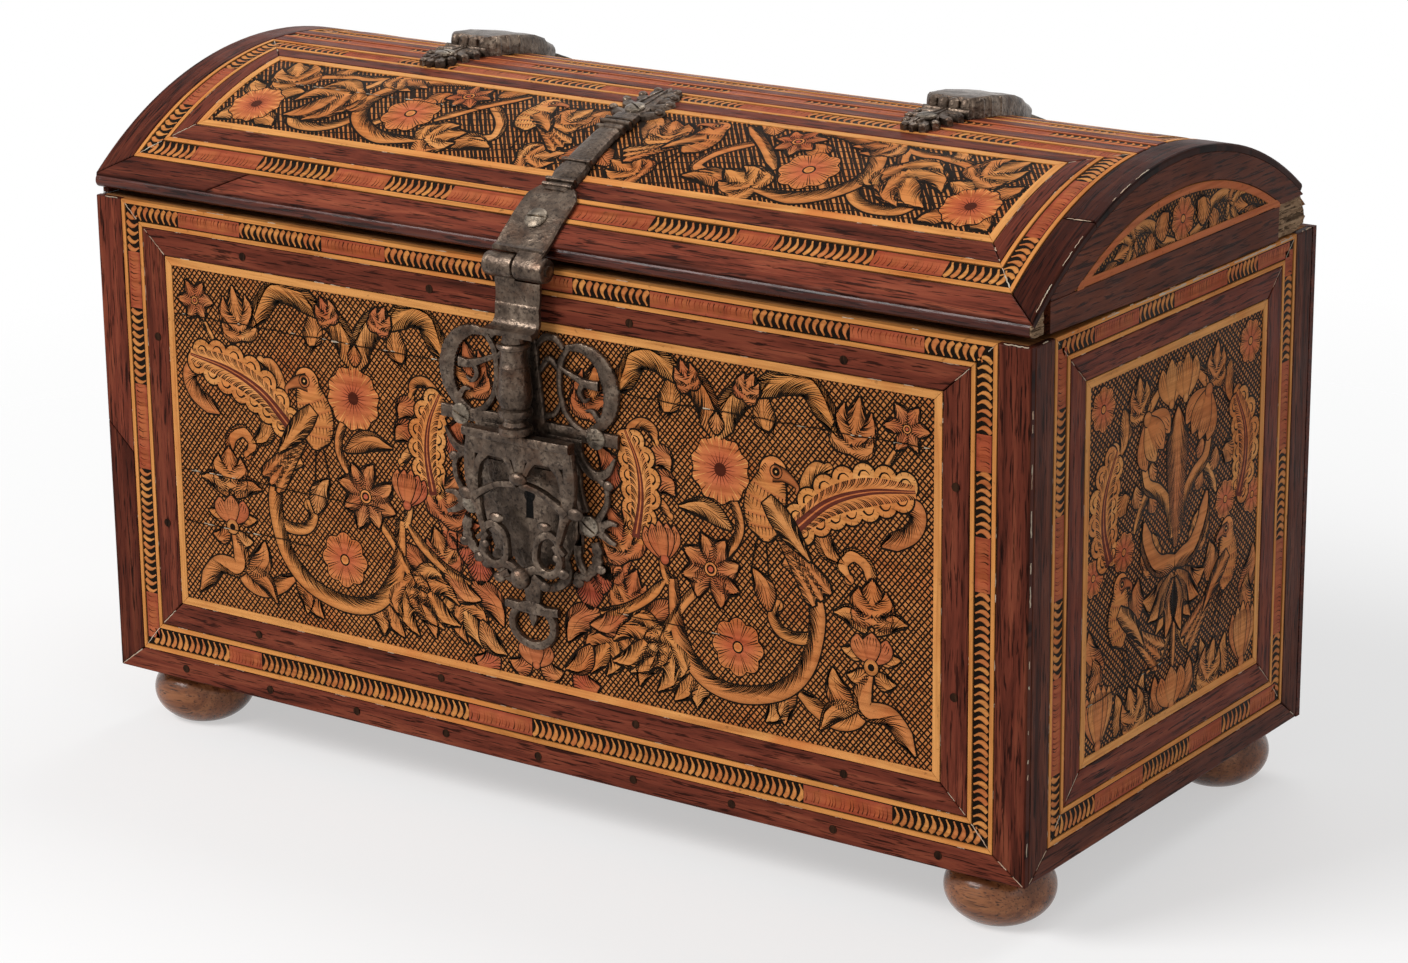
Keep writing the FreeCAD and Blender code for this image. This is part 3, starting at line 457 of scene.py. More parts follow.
def wood(name, dark, mid, light, axis=0, laid=False, gloss=(0.30, 0.50), coat=0.0, streak=(14.0, 210.0),
         fleck_depth=0.8, specular=WAX_SHINE):
    """Waxed wood: long streaks, fine dark pores, flecks, and patches of rubbed and dirty polish. Colours
    are 0-255 screen values, the grain runs along axis, and laid strips have a grain and tint of their own."""
    g = Graph(bpy.data.materials.new(name))
    dark, mid, light = [srgb(*c) for c in (dark, mid, light)]
    source = 'grain' if laid else 'object'

    def along_grain(pair, **settings):
        """Noise with one scale along the grain and another across it."""
        stretch = [pair[1]] * 3
        stretch[axis] = pair[0]
        return g.speckle(tuple(stretch), source, **settings)

    streaks = along_grain(streak, detail=5.0, rough=0.62, warp=0.8)
    colour = g.ramp(streaks, [(0.30, dark), (0.50, mid), (0.72, light)])
    broad = g.speckle((9.0, 9.0, 9.0), source, detail=3.0, rough=0.5, warp=0.3)
    colour = g.mix(g.level(broad, 0.35, 0.7, end=0.55), colour, mid)
    pores = along_grain(PORES, detail=2.0, rough=0.5)
    colour = g.mix(g.level(pores, PORE_START, PORE_END, end=0.8), colour, tuple(0.25 * c for c in dark))
    flecks = along_grain(FLECKS, detail=3.0, rough=0.6, warp=0.4)
    colour = g.mix(g.level(flecks, 0.565, 0.62, end=fleck_depth), colour, tuple(0.3 * c for c in dark))
    if laid:
        colour = g.mix(1.0, colour, g.tint(), 'MULTIPLY')
    smear = g.speckle((40.0, 40.0, 40.0), source)
    rough = g.level(smear, 0.3, 0.7, *gloss)
    relief = g.mix(g.level(pores, PORE_START, PORE_END, end=0.7), streaks, (0.0, 0.0, 0.0))
    return g.wire(colour, rough, relief, 0.00012, specular, coat=coat)


def inlay(name):
    """Veneer whose drawing comes from the pieces' tints, under one run of grain and old polish."""
    g = Graph(bpy.data.materials.new(name))
    grain = g.speckle((16.0, 420.0, 1.0), 'grain', detail=5.0, rough=0.65, warp=0.6)
    shades = [(0.28, (0.60, 0.52, 0.46)), (0.55, (1.0, 1.0, 1.0)), (0.75, (1.12, 1.16, 1.2))]
    colour = g.mix(1.0, g.tint(), g.ramp(grain, shades), 'MULTIPLY')
    broad = g.speckle((22.0, 30.0, 1.0), 'grain', detail=3.0, rough=0.6, warp=0.5)
    reddened = g.mix(1.0, colour, srgb(224, 150, 118), 'MULTIPLY')
    colour = g.mix(g.level(broad, 0.5, 0.78, end=0.55), colour, reddened)
    dirt = g.speckle((300.0, 380.0, 1.0), 'grain', detail=3.0)
    colour = g.mix(g.level(dirt, 0.62, 0.74, end=0.5), colour, srgb(58, 38, 22))
    rough = g.level(broad, 0.3, 0.7, 0.34, 0.55)
    return g.wire(colour, rough, grain, 0.00008, WAX_SHINE)


def iron(name, dark, mid, light):
    """Forged and filed iron, brown where it has rusted and bright where it is rubbed."""
    g = Graph(bpy.data.materials.new(name))
    patches = g.speckle((120.0, 120.0, 120.0), 'object', detail=6.0, rough=0.65, warp=0.4)
    colour = g.ramp(patches, [(0.32, srgb(*dark)), (0.52, srgb(*mid)), (0.74, srgb(*light))])
    rust = g.speckle((70.0, 70.0, 70.0), 'object')
    colour = g.mix(g.level(rust, 0.54, 0.70, end=0.55), colour, srgb(82, 56, 40))
    pits = g.speckle((650.0, 650.0, 650.0), 'object', detail=3.0)
    colour = g.mix(g.level(pits, 0.52, 0.66, end=0.75), colour, srgb(32, 26, 23))
    rough = g.level(patches, 0.3, 0.7, 0.48, 0.26)
    return g.wire(colour, rough, g.mix(0.5, patches, pits), 0.0006, 0.5, metal=0.9)


OILED = ((88, 54, 30), (134, 88, 52), (168, 118, 74))
OILED_LOOK = {"gloss": (0.5, 0.7), "streak": (7.0, 120.0)}
ROSEWOOD = wood("rosewood_waxed", (40, 20, 15), (110, 52, 38), (148, 80, 56), laid=True)
# a darker copy of the rosewood for the outer strips of the ends: painted shade for the end faces
END_SHADED_ROSE = wood("rosewood_painted_shade", (36, 20, 16), (92, 48, 36), (128, 72, 52), laid=True)
WALNUT = wood("walnut_polished", (70, 36, 20), (126, 76, 46), (168, 112, 72), gloss=(0.16, 0.30), coat=0.2,
              streak=(20.0, 120.0), fleck_depth=0.3, specular=0.2)
CARCASS = wood("carcass_oiled", *OILED, **OILED_LOOK)
CARCASS_Y = wood("carcass_oiled_across", *OILED, axis=1, **OILED_LOOK)
PEG = wood("peg_ends", (24, 14, 9), (46, 28, 18), (70, 44, 28), axis=2, gloss=(0.5, 0.7),
           streak=(200.0, 900.0))
INLAY = inlay("inlay_engraved")
IRON = iron("iron_forged", (53, 43, 36), (91, 77, 66), (140, 123, 107))
IRON_BRIGHT = iron("iron_rubbed", (62, 54, 46), (124, 112, 98), (186, 172, 154))
# not iron but near-black painted shade for the inside of the keyhole, made with the iron maker
KEYHOLE_SHADE = iron("keyhole_painted_shade", (4, 3, 3), (8, 6, 5), (14, 11, 9))
PLAIN_ROSE = wood("rosewood_plain", (38, 18, 15), (78, 36, 26), (112, 56, 38))
PLAIN_ROSE_Y = wood("rosewood_plain_across", (44, 22, 16), (84, 42, 28), (118, 62, 40), axis=1)
POLISHED_ROSE = wood("rosewood_polished", (34, 16, 14), (74, 34, 26), (110, 56, 40), gloss=(0.14, 0.28),
                     coat=0.06, specular=0.14)
RAW_WOOD = wood("raw_broken_wood", (84, 62, 46), (150, 122, 96), (196, 168, 136), axis=1, gloss=(0.7, 0.9),
                streak=(60.0, 700.0))
LUNETTE_GROUND = wood("lunette_ground", (120, 72, 32), (164, 104, 46), (190, 128, 60), axis=1,
                      streak=(12.0, 300.0))


# Rosewood strips: the widths of the rings on the case and on the lid
OUTER_SIDE, OUTER_BOTTOM = 14.0, 10.5
BAND_SIDE, BAND_BOTTOM, BAND_TOP = 11.0, 12.5, 10.5
FRAME_SIDE, FRAME_BOTTOM, FRAME_TOP = 12.0, 11.5, 11.0
LID_OUTER, LID_BAND_LOW, LID_BAND_HIGH = 11.8, 12.8, 10.6
LID_FRAME_SIDE, LID_FRAME_LOW, LID_FRAME_HIGH = 8.0, 9.4, 8.1
RIDGE_STRIP, RIDGE_BAND = 7.0, 9.0
JOINT_GAP = 0.12


def layout(start, end):
    """The nested rings of one upright face, each an outline and its four widths, and the panel inside."""
    outer = ((start, 0.0, end, CASE_H), (OUTER_SIDE, OUTER_BOTTOM, OUTER_SIDE, 0.0))
    band = (inside(*outer), (BAND_SIDE, BAND_BOTTOM, BAND_SIDE, BAND_TOP))
    inner = (inside(*band), (FRAME_SIDE, FRAME_BOTTOM, FRAME_SIDE, FRAME_TOP))
    return {"outer": outer, "band": band, "frame": inner, "panel": inside(*inner)}


FRONT = layout(0.0, WIDTH)
END = layout(FACING, DEPTH - FACING)
LID_MID = ARC / 2
CROWN_LOW, CROWN_HIGH = LID_MID - RIDGE_BAND / 2, LID_MID + RIDGE_BAND / 2
LID_OUTER_RING = ((0.0, 0.0, WIDTH, ARC), (OUTER_SIDE, LID_OUTER, OUTER_SIDE, LID_OUTER))
LID_BAND = ((OUTER_SIDE, LID_OUTER, WIDTH - OUTER_SIDE, CROWN_LOW - RIDGE_STRIP),
            (BAND_SIDE, LID_BAND_LOW, BAND_SIDE, LID_BAND_HIGH))
LID_FRAME = (inside(*LID_BAND), (LID_FRAME_SIDE, LID_FRAME_LOW, LID_FRAME_SIDE, LID_FRAME_HIGH))
LID_PANEL = inside(*LID_FRAME)


def carried(rect):
    """A rectangle of the lid's front slope carried over to its back slope."""
    return (rect[0], ARC - rect[3], rect[2], ARC - rect[1])


def carried_ring(ring):
    rect, (left, low, right, high) = ring
    return carried(rect), (left, high, right, low)


def strip_ring(name, place, ring, body, node, seed, material=ROSEWOOD, shades=(1, 1, 1, 1), round_=0.7,
               scarfs=(), trims=()):
    """The mitred strips of one ring, each a little apart from its neighbours; scarfs splice a strip in two,
    trims end it short of its mitres."""
    block = Sheet(place)
    for k, corners in enumerate(ring_runs(*ring)):
        p0, p1, q1, q0 = [Vector(c) for c in corners]
        if ((q0 + q1) - (p0 + p1)).length < 1.0:
            continue
        for run, outer_from, outer_to, inner_from, inner_to in trims:
            if run == k:
                p0, p1 = p0.lerp(p1, outer_from), p0.lerp(p1, outer_to)
                q0, q1 = q0.lerp(q1, inner_from), q0.lerp(q1, inner_to)
        lengths = [((p0, p1, q1, q0), shades[k])]
        for run, outer_share, inner_share, shade in scarfs:
            if run == k:
                cut_p, cut_q = p0.lerp(p1, outer_share), q0.lerp(q1, inner_share)
                lengths = [((p0, cut_p, cut_q, q0), shades[k]), ((cut_p, p1, q1, cut_q), shade)]
        for j, (length, shade) in enumerate(lengths):
            own_seed = seed + 0.37 * k + 1.9 * j
            block.strip(shrunk(length, JOINT_GAP), tint=(shade,) * 3, seed=own_seed, round_=round_)
    block.piece(name, material, body, "rosewood", node)


FRONT_LOOK = {"shades": (1.1, 0.8, 1, 1.1), "scarfs": ((3, 0.47, 0.56, 0.62),)}
# the outer strips of the ends take the darker copy of the rosewood, a painted shade
END_LOOK = {"material": END_SHADED_ROSE, "shades": (1.05, 0.8, 1, 0.8)}
for side, place, rings, seed, look in (("front", on_front, FRONT, 1.0, FRONT_LOOK),
                                       ("right", on_right, END, 2.0, END_LOOK),
                                       ("left", on_left, END, 3.0, END_LOOK)):
    strip_ring(side + "_outer_wood", place, rings["outer"], "case", side + "_outer_strips", seed, **look)
    strip_ring(side + "_frame_wood", place, rings["frame"], "case", side + "_inner_frame", seed + 0.2,
               shades=(1.0, 0.92, 1.0, 0.92))

strip_ring("lid_outer_wood", on_lid, LID_OUTER_RING, "lid", "lid_outer_strips", 4.0,
           shades=(0.66, 0.33, 0.9, 0.62), round_=1.0,
           scarfs=((0, 0.135, 0.15, 1.2), (1, 0.233, 0.187, 0.28)),
           trims=((1, 0.0, 0.932, 0.0, 0.992), (2, 0.03, 1.0, 0.0, 1.0)))
strip_ring("lid_front_frame_wood", on_lid, LID_FRAME, "lid", "lid_front_frame", 5.0)
strip_ring("lid_back_frame_wood", on_lid, carried_ring(LID_FRAME), "lid", "lid_back_frame", 6.0)

ridge = Sheet(on_lid)
for low in (CROWN_LOW - RIDGE_STRIP, CROWN_HIGH):
    rect = (OUTER_SIDE, low, WIDTH - OUTER_SIDE, low + RIDGE_STRIP)
    ridge.strip(shrunk(corners_of(rect), JOINT_GAP), seed=0.01 * low, cell=4.0)
ridge.piece("lid_ridge_wood", ROSEWOOD, "lid", "rosewood", "lid_ridge_strips")


# Inlaid bands
SLIP = {"round_": 0.15, "rim": 0.6, "wear": 0.03}
SLIP_TOP = -0.04
CORE_START, CORE_END = 0.18, 0.82
GADROON_PITCH, WORN_PITCH = 3.1, 1.9
DULL_GOLD = blend(AMBER, RED, 0.4)


def sub_ring(ring, start, end):
    """The part of a ring between two shares of its width, 0 at the outer edge and 1 at the inner."""
    rect, widths = ring
    return inside(rect, [w * start for w in widths]), [w * (end - start) for w in widths]


def band_field(block, ring, seed):
    """Two golden lines with a dark core between them, laid as separate mitred slips."""
    for start, end, top, colour in ((0.0, 0.17, SLIP_TOP, GOLD), (CORE_START, CORE_END, GROUND_N, MASTIC),
                                    (0.83, 1.0, SLIP_TOP, GOLD)):
        for k, corners in enumerate(ring_runs(*sub_ring(ring, start, end))):
            block.strip(shrunk(corners, 0.05), top=top, tint=colour, seed=seed + k, **SLIP)


def gadroons(sheet, origin, along, inward, start, end, low, high, rng):
    """A row of golden comma strokes across the dark core of a band."""
    count = max(1, int((end - start) / GADROON_PITCH))
    for i in range(count):
        a = start + (end - start) * (i + 0.5) / count
        lean = rng.uniform(1.1, 1.7)
        width = rng.uniform(0.95, 1.2)
        points = [origin + along * (a + x * lean) + inward * (low + (high - low) * y)
                  for x, y in ((-0.7, 0.04), (0.35, 0.30), (0.55, 0.62), (-0.25, 0.97))]
        tone = blend(AMBER, GOLD, rng.random())
        half = lambda t: width * (0.35 + 0.65 * math.sin(math.pi * min(1, t + 0.2)))
        sheet.ribbon(curve(points, 1.1), half, 2, tone, blend(tone, SCORCH, 0.55))


def stained(sheet, origin, along, inward, start, end, low, high, rng):
    """A stretch of red-stained veneer with the ghost of worn strokes."""
    steps = max(2, int((end - start) / 3.0))
    path = [origin + along * a + inward * (low + high) / 2 for a in spread(start, end, steps)]
    tones = []
    for _ in path:
        tone = blend(RED, AMBER, 0.3 + 0.6 * rng.random())
        tones.append(blend(tone, SCORCH, 0.08 + 0.3 * rng.random()))
    sheet.ribbon(path, (high - low) / 2, 2, lambda t: tones[int(t * steps + 0.5)], blend(RED, SCORCH, 0.35))
    for i in range(int((end - start) / WORN_PITCH)):
        a = start + 1.4 + i * WORN_PITCH + rng.uniform(-0.7, 0.7)
        if a > end - 1.5:
            break
        points = [origin + along * (a + x) + inward * (low + (high - low) * y)
                  for x, y in ((0.0, 0.12), (0.7, 0.4), (0.2, rng.uniform(0.6, 0.9)))]
        sheet.stroke(points, rng.uniform(0.25, 0.75), 3, blend(DEEP_RED, SCORCH, rng.uniform(0.2, 1.0)))


def in_turn(*places):
    """Stretches from each place to the next, black with gadroons and red-stained in turn."""
    return [(a, b, stained if i % 2 else gadroons) for i, (a, b) in enumerate(zip(places, places[1:]))]


def uneven(start, end, rng):
    """Stretches in turn, of uneven length."""
    places = [start]
    while places[-1] < end - 1:
        b = min(end, places[-1] + rng.uniform(24, 44))
        places.append(end if end - b < 12 else b)
    return in_turn(*places)


def band_art(sheet, ring, plan, rng):
    """Fills a band's four sides; plan gives each side's stretches in its own u or v."""
    core = sub_ring(ring, CORE_START, CORE_END)
    for side, corners in zip(("bottom", "right", "top", "left"), ring_runs(*core)):
        p0, p1, q1, q0 = [Vector(c) for c in corners]
        along = (p1 - p0).normalized()
        inward = left_of(along)
        width = (q0 - p0).dot(inward)
        length = (p1 - p0).length
        mitre = 0.42 * max((q0 - p0).dot(along), 0.0)
        pick = 0 if side in ("bottom", "top") else 1
        for start, end, maker in plan[side]:
            a, b = sorted((abs(start - p0[pick]), abs(end - p0[pick])))
            a, b = max(a, mitre + 0.3), min(b, length - mitre - 0.3)
            if b - a >= 2.5:
                maker(sheet, p0, along, inward, a, b, 0.35, width - 0.35, rng)


FRONT_PLAN = {
    "top": in_turn(17, 45, 78, 121.5, 154, 209, 246.5, 283, 330, 373, 405, 433),
    "left": in_turn(204, 185, 161, 128, 91, 36, 14),
    "right": in_turn(204, 172, 158, 133, 112, 14),
    "bottom": in_turn(17, 62, 80, 190, 222, 352, 392, 433),
}
LID_PLAN = {
    "bottom": (in_turn(16, 43, 78, 118, 145, 177, 236) + [(236, 274, stained)]
               + in_turn(274, 313, 331, 374, 405, 434)),
}


def make_band(name, place, ring, plan, body, node, seed):
    """A band's slips and its strokes; a side that plan leaves out has stretches of its own."""
    rng = random.Random(seed)
    field = Sheet(place)
    band_field(field, ring, seed * 0.13)
    field.piece(name + "_field", INLAY, body, "banding", node)
    u0, v0, u1, v1 = ring[0]
    whole = {}
    for side, start, end in (("bottom", u0, u1), ("right", v0, v1), ("top", u0, u1), ("left", v0, v1)):
        whole[side] = plan[side] if side in plan else uneven(start + 2, end - 2, rng)
    art = Sheet(place)
    band_art(art, ring, whole, rng)
    art.piece(name + "_strokes", INLAY, body, "banding")


make_band("front_band", on_front, FRONT["band"], FRONT_PLAN, "case", "front_inlay_band", 11)
make_band("right_band", on_right, END["band"], {}, "case", "right_inlay_band", 12)
make_band("left_band", on_left, END["band"], {}, "case", "left_inlay_band", 13)
make_band("lid_front_band_inlay", on_lid, LID_BAND, LID_PLAN, "lid", "lid_front_band", 14)
make_band("lid_back_band_inlay", on_lid, carried_ring(LID_BAND), {}, "lid", "lid_back_band", 15)

# the crown band runs along the ridge without mitres
CROWN_SLIP, CROWN_CORE = 1.5, 1.6
crown_rng = random.Random(16)
crown_field = Sheet(on_lid)
for low, high, top, colour in ((CROWN_LOW, CROWN_LOW + CROWN_SLIP, SLIP_TOP, DULL_GOLD),
                               (CROWN_LOW + CROWN_CORE, CROWN_HIGH - CROWN_CORE, GROUND_N, MASTIC),
                               (CROWN_HIGH - CROWN_SLIP, CROWN_HIGH, SLIP_TOP, DULL_GOLD)):
    outline = corners_of((OUTER_SIDE, low, WIDTH - OUTER_SIDE, high))
    crown_field.strip(outline, top=top, tint=colour, seed=low, **SLIP)
crown_field.piece("lid_crown_band_field", INLAY, "lid", "banding", "lid_ridge_band")
crown_art = Sheet(on_lid)
crown_axes = (Vector((0.0, CROWN_LOW + CROWN_CORE)), Vector((1.0, 0.0)), Vector((0.0, 1.0)))
for start, end, maker in uneven(OUTER_SIDE + 1, WIDTH - OUTER_SIDE - 1, crown_rng):
    maker(crown_art, *crown_axes, start, end, 0.3, RIDGE_BAND - 3.5, crown_rng)
crown_art.piece("lid_crown_band_strokes", INLAY, "lid", "banding")


# Traditional motifs
FULL = 1.3
LINE = 0.65
HAIR, TURNS = 0.04, 14
CUT_WIDTH = 0.56
FINEST_HALF = 0.55


class Pen:
    """Draws motifs on a sheet in sketch units; widths are in millimetres."""

    def __init__(self, sheet, to_face, rng, side=1, line=LINE):
        self.sheet = sheet
        self.to_face = to_face
        self.rng = rng
        self.side = side
        self.line = line
        self.turn = 0

    def p(self, point):
        return Vector(self.to_face(*point))

    def path(self, points, step=1.1):
        return curve([self.p(q) for q in points], step)

    def levels(self, layer):
        """The heights of a motif's outline, body and cuts, a hair apart from its neighbours' own."""
        self.turn = (self.turn + 1) % TURNS
        return [3 * layer + k + HAIR * self.turn for k in (1, 2, 3)]

    def tone(self, red=0.0):
        base = blend(GOLD, PALE if self.rng.random() < 0.3 else AMBER, 0.45 * self.rng.random())
        return blend(base, RED, red)

    def shape(self, path, size, layer, tone, edge, outline=None):
        """A filled form along a path, its dark outline and its body; gives the height of its cuts."""
        outline = outline or self.line
        out, body, cut = self.levels(layer)
        first, last = path[0], path[-1]
        d0 = (path[1] - first).normalized() * outline
        d1 = (last - path[-2]).normalized() * outline
        longer = [first - d0] + path[1:-1] + [last + d1]
        self.sheet.ribbon(longer, lambda t: size(t) + outline, out, MASTIC, columns=(0.0, 0.5, 1.0))
        self.sheet.ribbon(path, size, body, tone, blend(at_share(tone, 0.5), SCORCH, edge))
        return cut

    def shading(self, path, size, level, pitch=0.95, depth=0.86, lean=2.1, both=True):
        """Tapering cuts that run in from the rims and forward along the form."""
        along = run_lengths(path)
        frames = sides(path)
        count = max(2, int(along[-1] / pitch))
        for i in range(count):
            t = (i + 0.5) / count
            s = t * along[-1]
            k = min(range(len(along)), key=lambda j: abs(along[j] - s))
            p, (d, q) = path[k], frames[k]
            half = size(t)
            for sign in (1, -1):
                if half < FINEST_HALF or (not both and sign != self.side):
                    continue
                reach = depth * self.rng.uniform(0.65, 1.1)
                a = p + q * sign * half * 1.02
                b = p + q * sign * half * (1 - 0.55 * reach) + d * lean * half * 0.35 * reach
                c = p + q * sign * half * (1 - reach) + d * lean * half * reach
                self.sheet.stroke([a, b, c], CUT_WIDTH * self.rng.uniform(0.7, 1.25), level)

    def scroll(self, points, width, layer=1, red=0.15, head=0.35, tail=0.35, both=False, ball=0.0):
        """A ribbon scroll, shaded along one rim, with an optional round end."""
        path = self.path(points)
        half = width / 2

        def size(t):
            return half * min(1.0, head + (1 - head) * t / 0.18, tail + (1 - tail) * (1 - t) / 0.18)

        cut = self.shape(path, size, layer, self.tone(red), 0.35)
        self.shading(path, size, cut, both=both, depth=1.05, lean=2.6)
        if ball:
            self.dot(points[-1], ball, layer)

    def leaf(self, base, tip, width, bend=0.0, layer=1, red=0.1, top=0.45):
        """A pointed leaf with a vein and cuts from both rims."""
        b, t = self.p(base), self.p(tip)
        path = curve([b, (b + t) / 2 + left_of(t - b) * bend * self.side, t], 1.0)
        half = FULL * width / 2
        size = lambda x: half * taper(x, 0.15, 0.03, top)
        tone = self.tone(red)
        colours = lambda x: blend(tone, RED, max(0.0, red * 1.6 * (1 - abs(2 * x - 0.7))))
        cut = self.shape(path, size, layer, colours, 0.4)
        self.shading(path, size, cut)
        self.sheet.stroke([path[0], path[len(path) // 2], path[-2]], 0.4, cut + 0.3, SCORCH)

    def lobed(self, base, tip, width, bend=0.0, layer=1, lobes=2, red=0.2):
        """A palmette: pointed leaves that fan out from one foot, the middle one longest."""
        b, t = self.p(base), self.p(tip)
        d = t - b
        wide = FULL * width / d.length
        fan = [(0.0, 1.0, 0.46)]
        for angle, length, share in ((0.44, 0.84, 0.42), (0.95, 0.60, 0.36))[:lobes]:
            fan += [(angle, length, share), (-angle, length, share)]
        for k, (angle, length, share) in sorted(enumerate(fan), reverse=True):
            angle *= min(1.1, 0.6 * wide + 0.4)
            cos, sin = math.cos(angle), math.sin(angle)
            ray = Vector((d.x * cos - d.y * sin, d.x * sin + d.y * cos))
            root = b + d * 0.16 * (lobes - (k + 1) // 2)
            end = b + d * 0.12 + ray * length * 0.9
            bow = 0.16 * math.copysign(1.0, angle) if k else bend * self.side
            path = curve([root, (root + end) / 2 + left_of(ray) * bow, end], 0.9)
            half = FULL * width * share / 2
            size = lambda x: half * taper(x, 0.35, 0.04, 0.42)
            tone = self.tone(red * self.rng.uniform(0.5, 1.0))
            cut = self.shape(path, size, layer + (0.3 if k == 0 else 0.0), tone, 0.4)
            self.shading(path, size, cut, pitch=1.0)

    def feather(self, points, width, layer=1, scallops=6):
        """A long leaf of round lobes, each with a curled eye, about a dark red midrib."""
        path = self.path(points, 0.8)
        half = width / 2
        size = lambda t: half * taper(t, 0.55, 0.45, 0.55)
        frames = sides(path)
        out, body, cut = self.levels(layer)
        lobe = 0.60 * run_lengths(path)[-1] / scallops
        for i in range(scallops):
            for sign in (1, -1):
                t = (i + (0.55 if sign > 0 else 0.35)) / scallops
                k = min(len(path) - 1, int(t * (len(path) - 1)))
                p, (d, q) = path[k], frames[k]
                c = p + q * sign * (size(t) - lobe * 0.55)
                tone = self.tone(0.05)
                self.sheet.fan(c, lobe + 0.8, out, MASTIC, count=20)
                self.sheet.fan(c, lobe, body + 0.02 * i, tone, blend(tone, SCORCH, 0.15), count=20)
                turned = lambda a: d * math.cos(a) + q * sign * math.sin(a)
                eye = [c + turned(a) * lobe * 0.5 for a in (2.9, 2.0, 1.1, 0.2)]
                self.sheet.stroke(eye, 1.0, cut, tail=0.3)
                for a in (0.5, 1.2, 1.9):
                    tick = [c + turned(a) * lobe * 0.98, c + turned(a) * lobe * 0.72]
                    self.sheet.stroke(tick, 0.3, cut, SCORCH)
        inner = lambda t: size(t) * 0.62
        tone = self.tone(0.1)
        self.sheet.ribbon(path, inner, cut + 0.1, tone, blend(tone, RED, 0.3))
        self.shading(path, inner, cut + 0.5, pitch=1.0, depth=0.7, lean=-1.2)
        rib = lambda t: half * 0.26 * (1 - 0.75 * t)
        self.sheet.ribbon(path, rib, cut + 0.8, PURPLE, blend(PURPLE, MASTIC, 0.4))
        line = lambda t: 0.35 * (1 - 0.7 * t)
        self.sheet.ribbon(path[2:], line, cut + 1.1, AMBER, columns=PLAIN_LINE)

    def dot(self, centre, radius, layer=1, red=0.1, hole=0.0):
        out, body, cut = self.levels(layer)
        c = self.p(centre)
        self.sheet.fan(c, radius + 0.5, out, MASTIC, count=16)
        tone = self.tone(red)
        self.sheet.fan(c, radius, body, tone, blend(tone, SCORCH, 0.4), count=16)
        if hole:
            self.sheet.fan(c, hole, cut, MASTIC, count=12, rings=(1.0,))

    def spoke(self, centre, angle, stops, width, level, tint):
        """A cut along one ray of a flower, through shares of radii from its centre."""
        points = [centre + unit(angle) * radius * share for radius, share in stops]
        self.sheet.stroke(points, width, level, tint)

    def bloom(self, centre, rim, layer, red, gold, count):
        """A flower's dark outline and red body; gives its centre and the height of its cuts."""
        out, body, cut = self.levels(layer)
        c = self.p(centre)
        self.sheet.fan(c, lambda a: rim(a) + 0.55, out, MASTIC, count=count)
        self.sheet.fan(c, rim, body, blend(RED, AMBER, red), blend(AMBER, GOLD, gold), count=count)
        return c, cut

    def poppy(self, centre, radius, layer=1):
        """A round red flower with a notched rim, radial cuts and a dark eye."""
        lobes, eye = 10, 0.2
        phase = self.rng.uniform(0, 6.28)
        rim = lambda a: radius * (0.95 + 0.05 * math.cos(lobes * a + phase))
        c, cut = self.bloom(centre, rim, layer, 0.25, 0.2, 48)
        for i in range(lobes * 4):
            a = 2 * math.pi * i / (lobes * 4) + phase
            start = c + unit(a) * rim(a)
            end = c + unit(a) * radius * (0.42 if i % 4 == 2 else self.rng.uniform(0.62, 0.78))
            tint = MASTIC if i % 2 else blend(GOLD, PALE, 0.5)
            self.sheet.stroke([start, (start + end) / 2, end], 0.5, cut, tint)
            if i % 2 == 0:
                heart = ((radius, eye), (radius, 0.4), (radius, 0.55))
                self.spoke(c, a, heart, 0.4, cut, blend(DEEP_RED, SCORCH, 0.7))
        self.sheet.fan(c, radius * eye, cut + 0.5, blend(MASTIC, DEEP_RED, 0.2), count=16)

    def rosette(self, centre, radius, layer=1):
        """A many-petalled red flower about a small golden boss."""
        petals = 8
        phase = self.rng.uniform(0, 6.28)
        rim = lambda a: radius * (0.84 + 0.16 * abs(math.cos(0.5 * petals * a + phase)))
        c, cut = self.bloom(centre, rim, layer, 0.3, 0.25, 64)
        for i in range(petals):
            a = (2 * i + 1) * math.pi / petals - 2 * phase / petals
            for off in (-0.06, 0.06):
                self.spoke(c, a + off, ((rim(a), 1.0), (radius, 0.5), (radius, 0.2)), 0.5, cut, SCORCH)
            for k in (0.25, 0.5, 0.75):
                b = a + 2 * math.pi / petals * k
                self.spoke(c, b, ((rim(b), 0.97), (radius, 0.75), (radius, 0.58)), 0.36, cut, SCORCH)
        self.sheet.fan(c, radius * 0.22, cut + 0.4, MASTIC, count=16)
        self.sheet.fan(c, radius * 0.16, cut + 0.8, AMBER, GOLD, count=12)

    def star(self, centre, radius, petals, layer=1, ring=2.2, start=0.0, red=0.3):
        """Pointed petals about a ringed eye."""
        c = Vector(centre)
        scale = (self.p((c.x + 1, c.y)) - self.p(c)).length
        for i in range(petals):
            a = start + 2 * math.pi * i / petals
            r = radius * self.rng.uniform(0.88, 1.1) / scale
            tip = (c.x + r * math.cos(a), c.y + r * math.sin(a))
            self.leaf(centre, tip, radius * 0.42, self.rng.uniform(-0.12, 0.12), layer, red, top=0.6)
        out, body, cut = self.levels(layer + 1)
        spot = self.p(centre)
        self.sheet.fan(spot, ring + 0.5, out, MASTIC, count=16)
        self.sheet.fan(spot, ring, body, RED, GOLD, count=16)
        self.sheet.annulus(spot, ring * 0.7, ring * 0.42, cut, MASTIC)

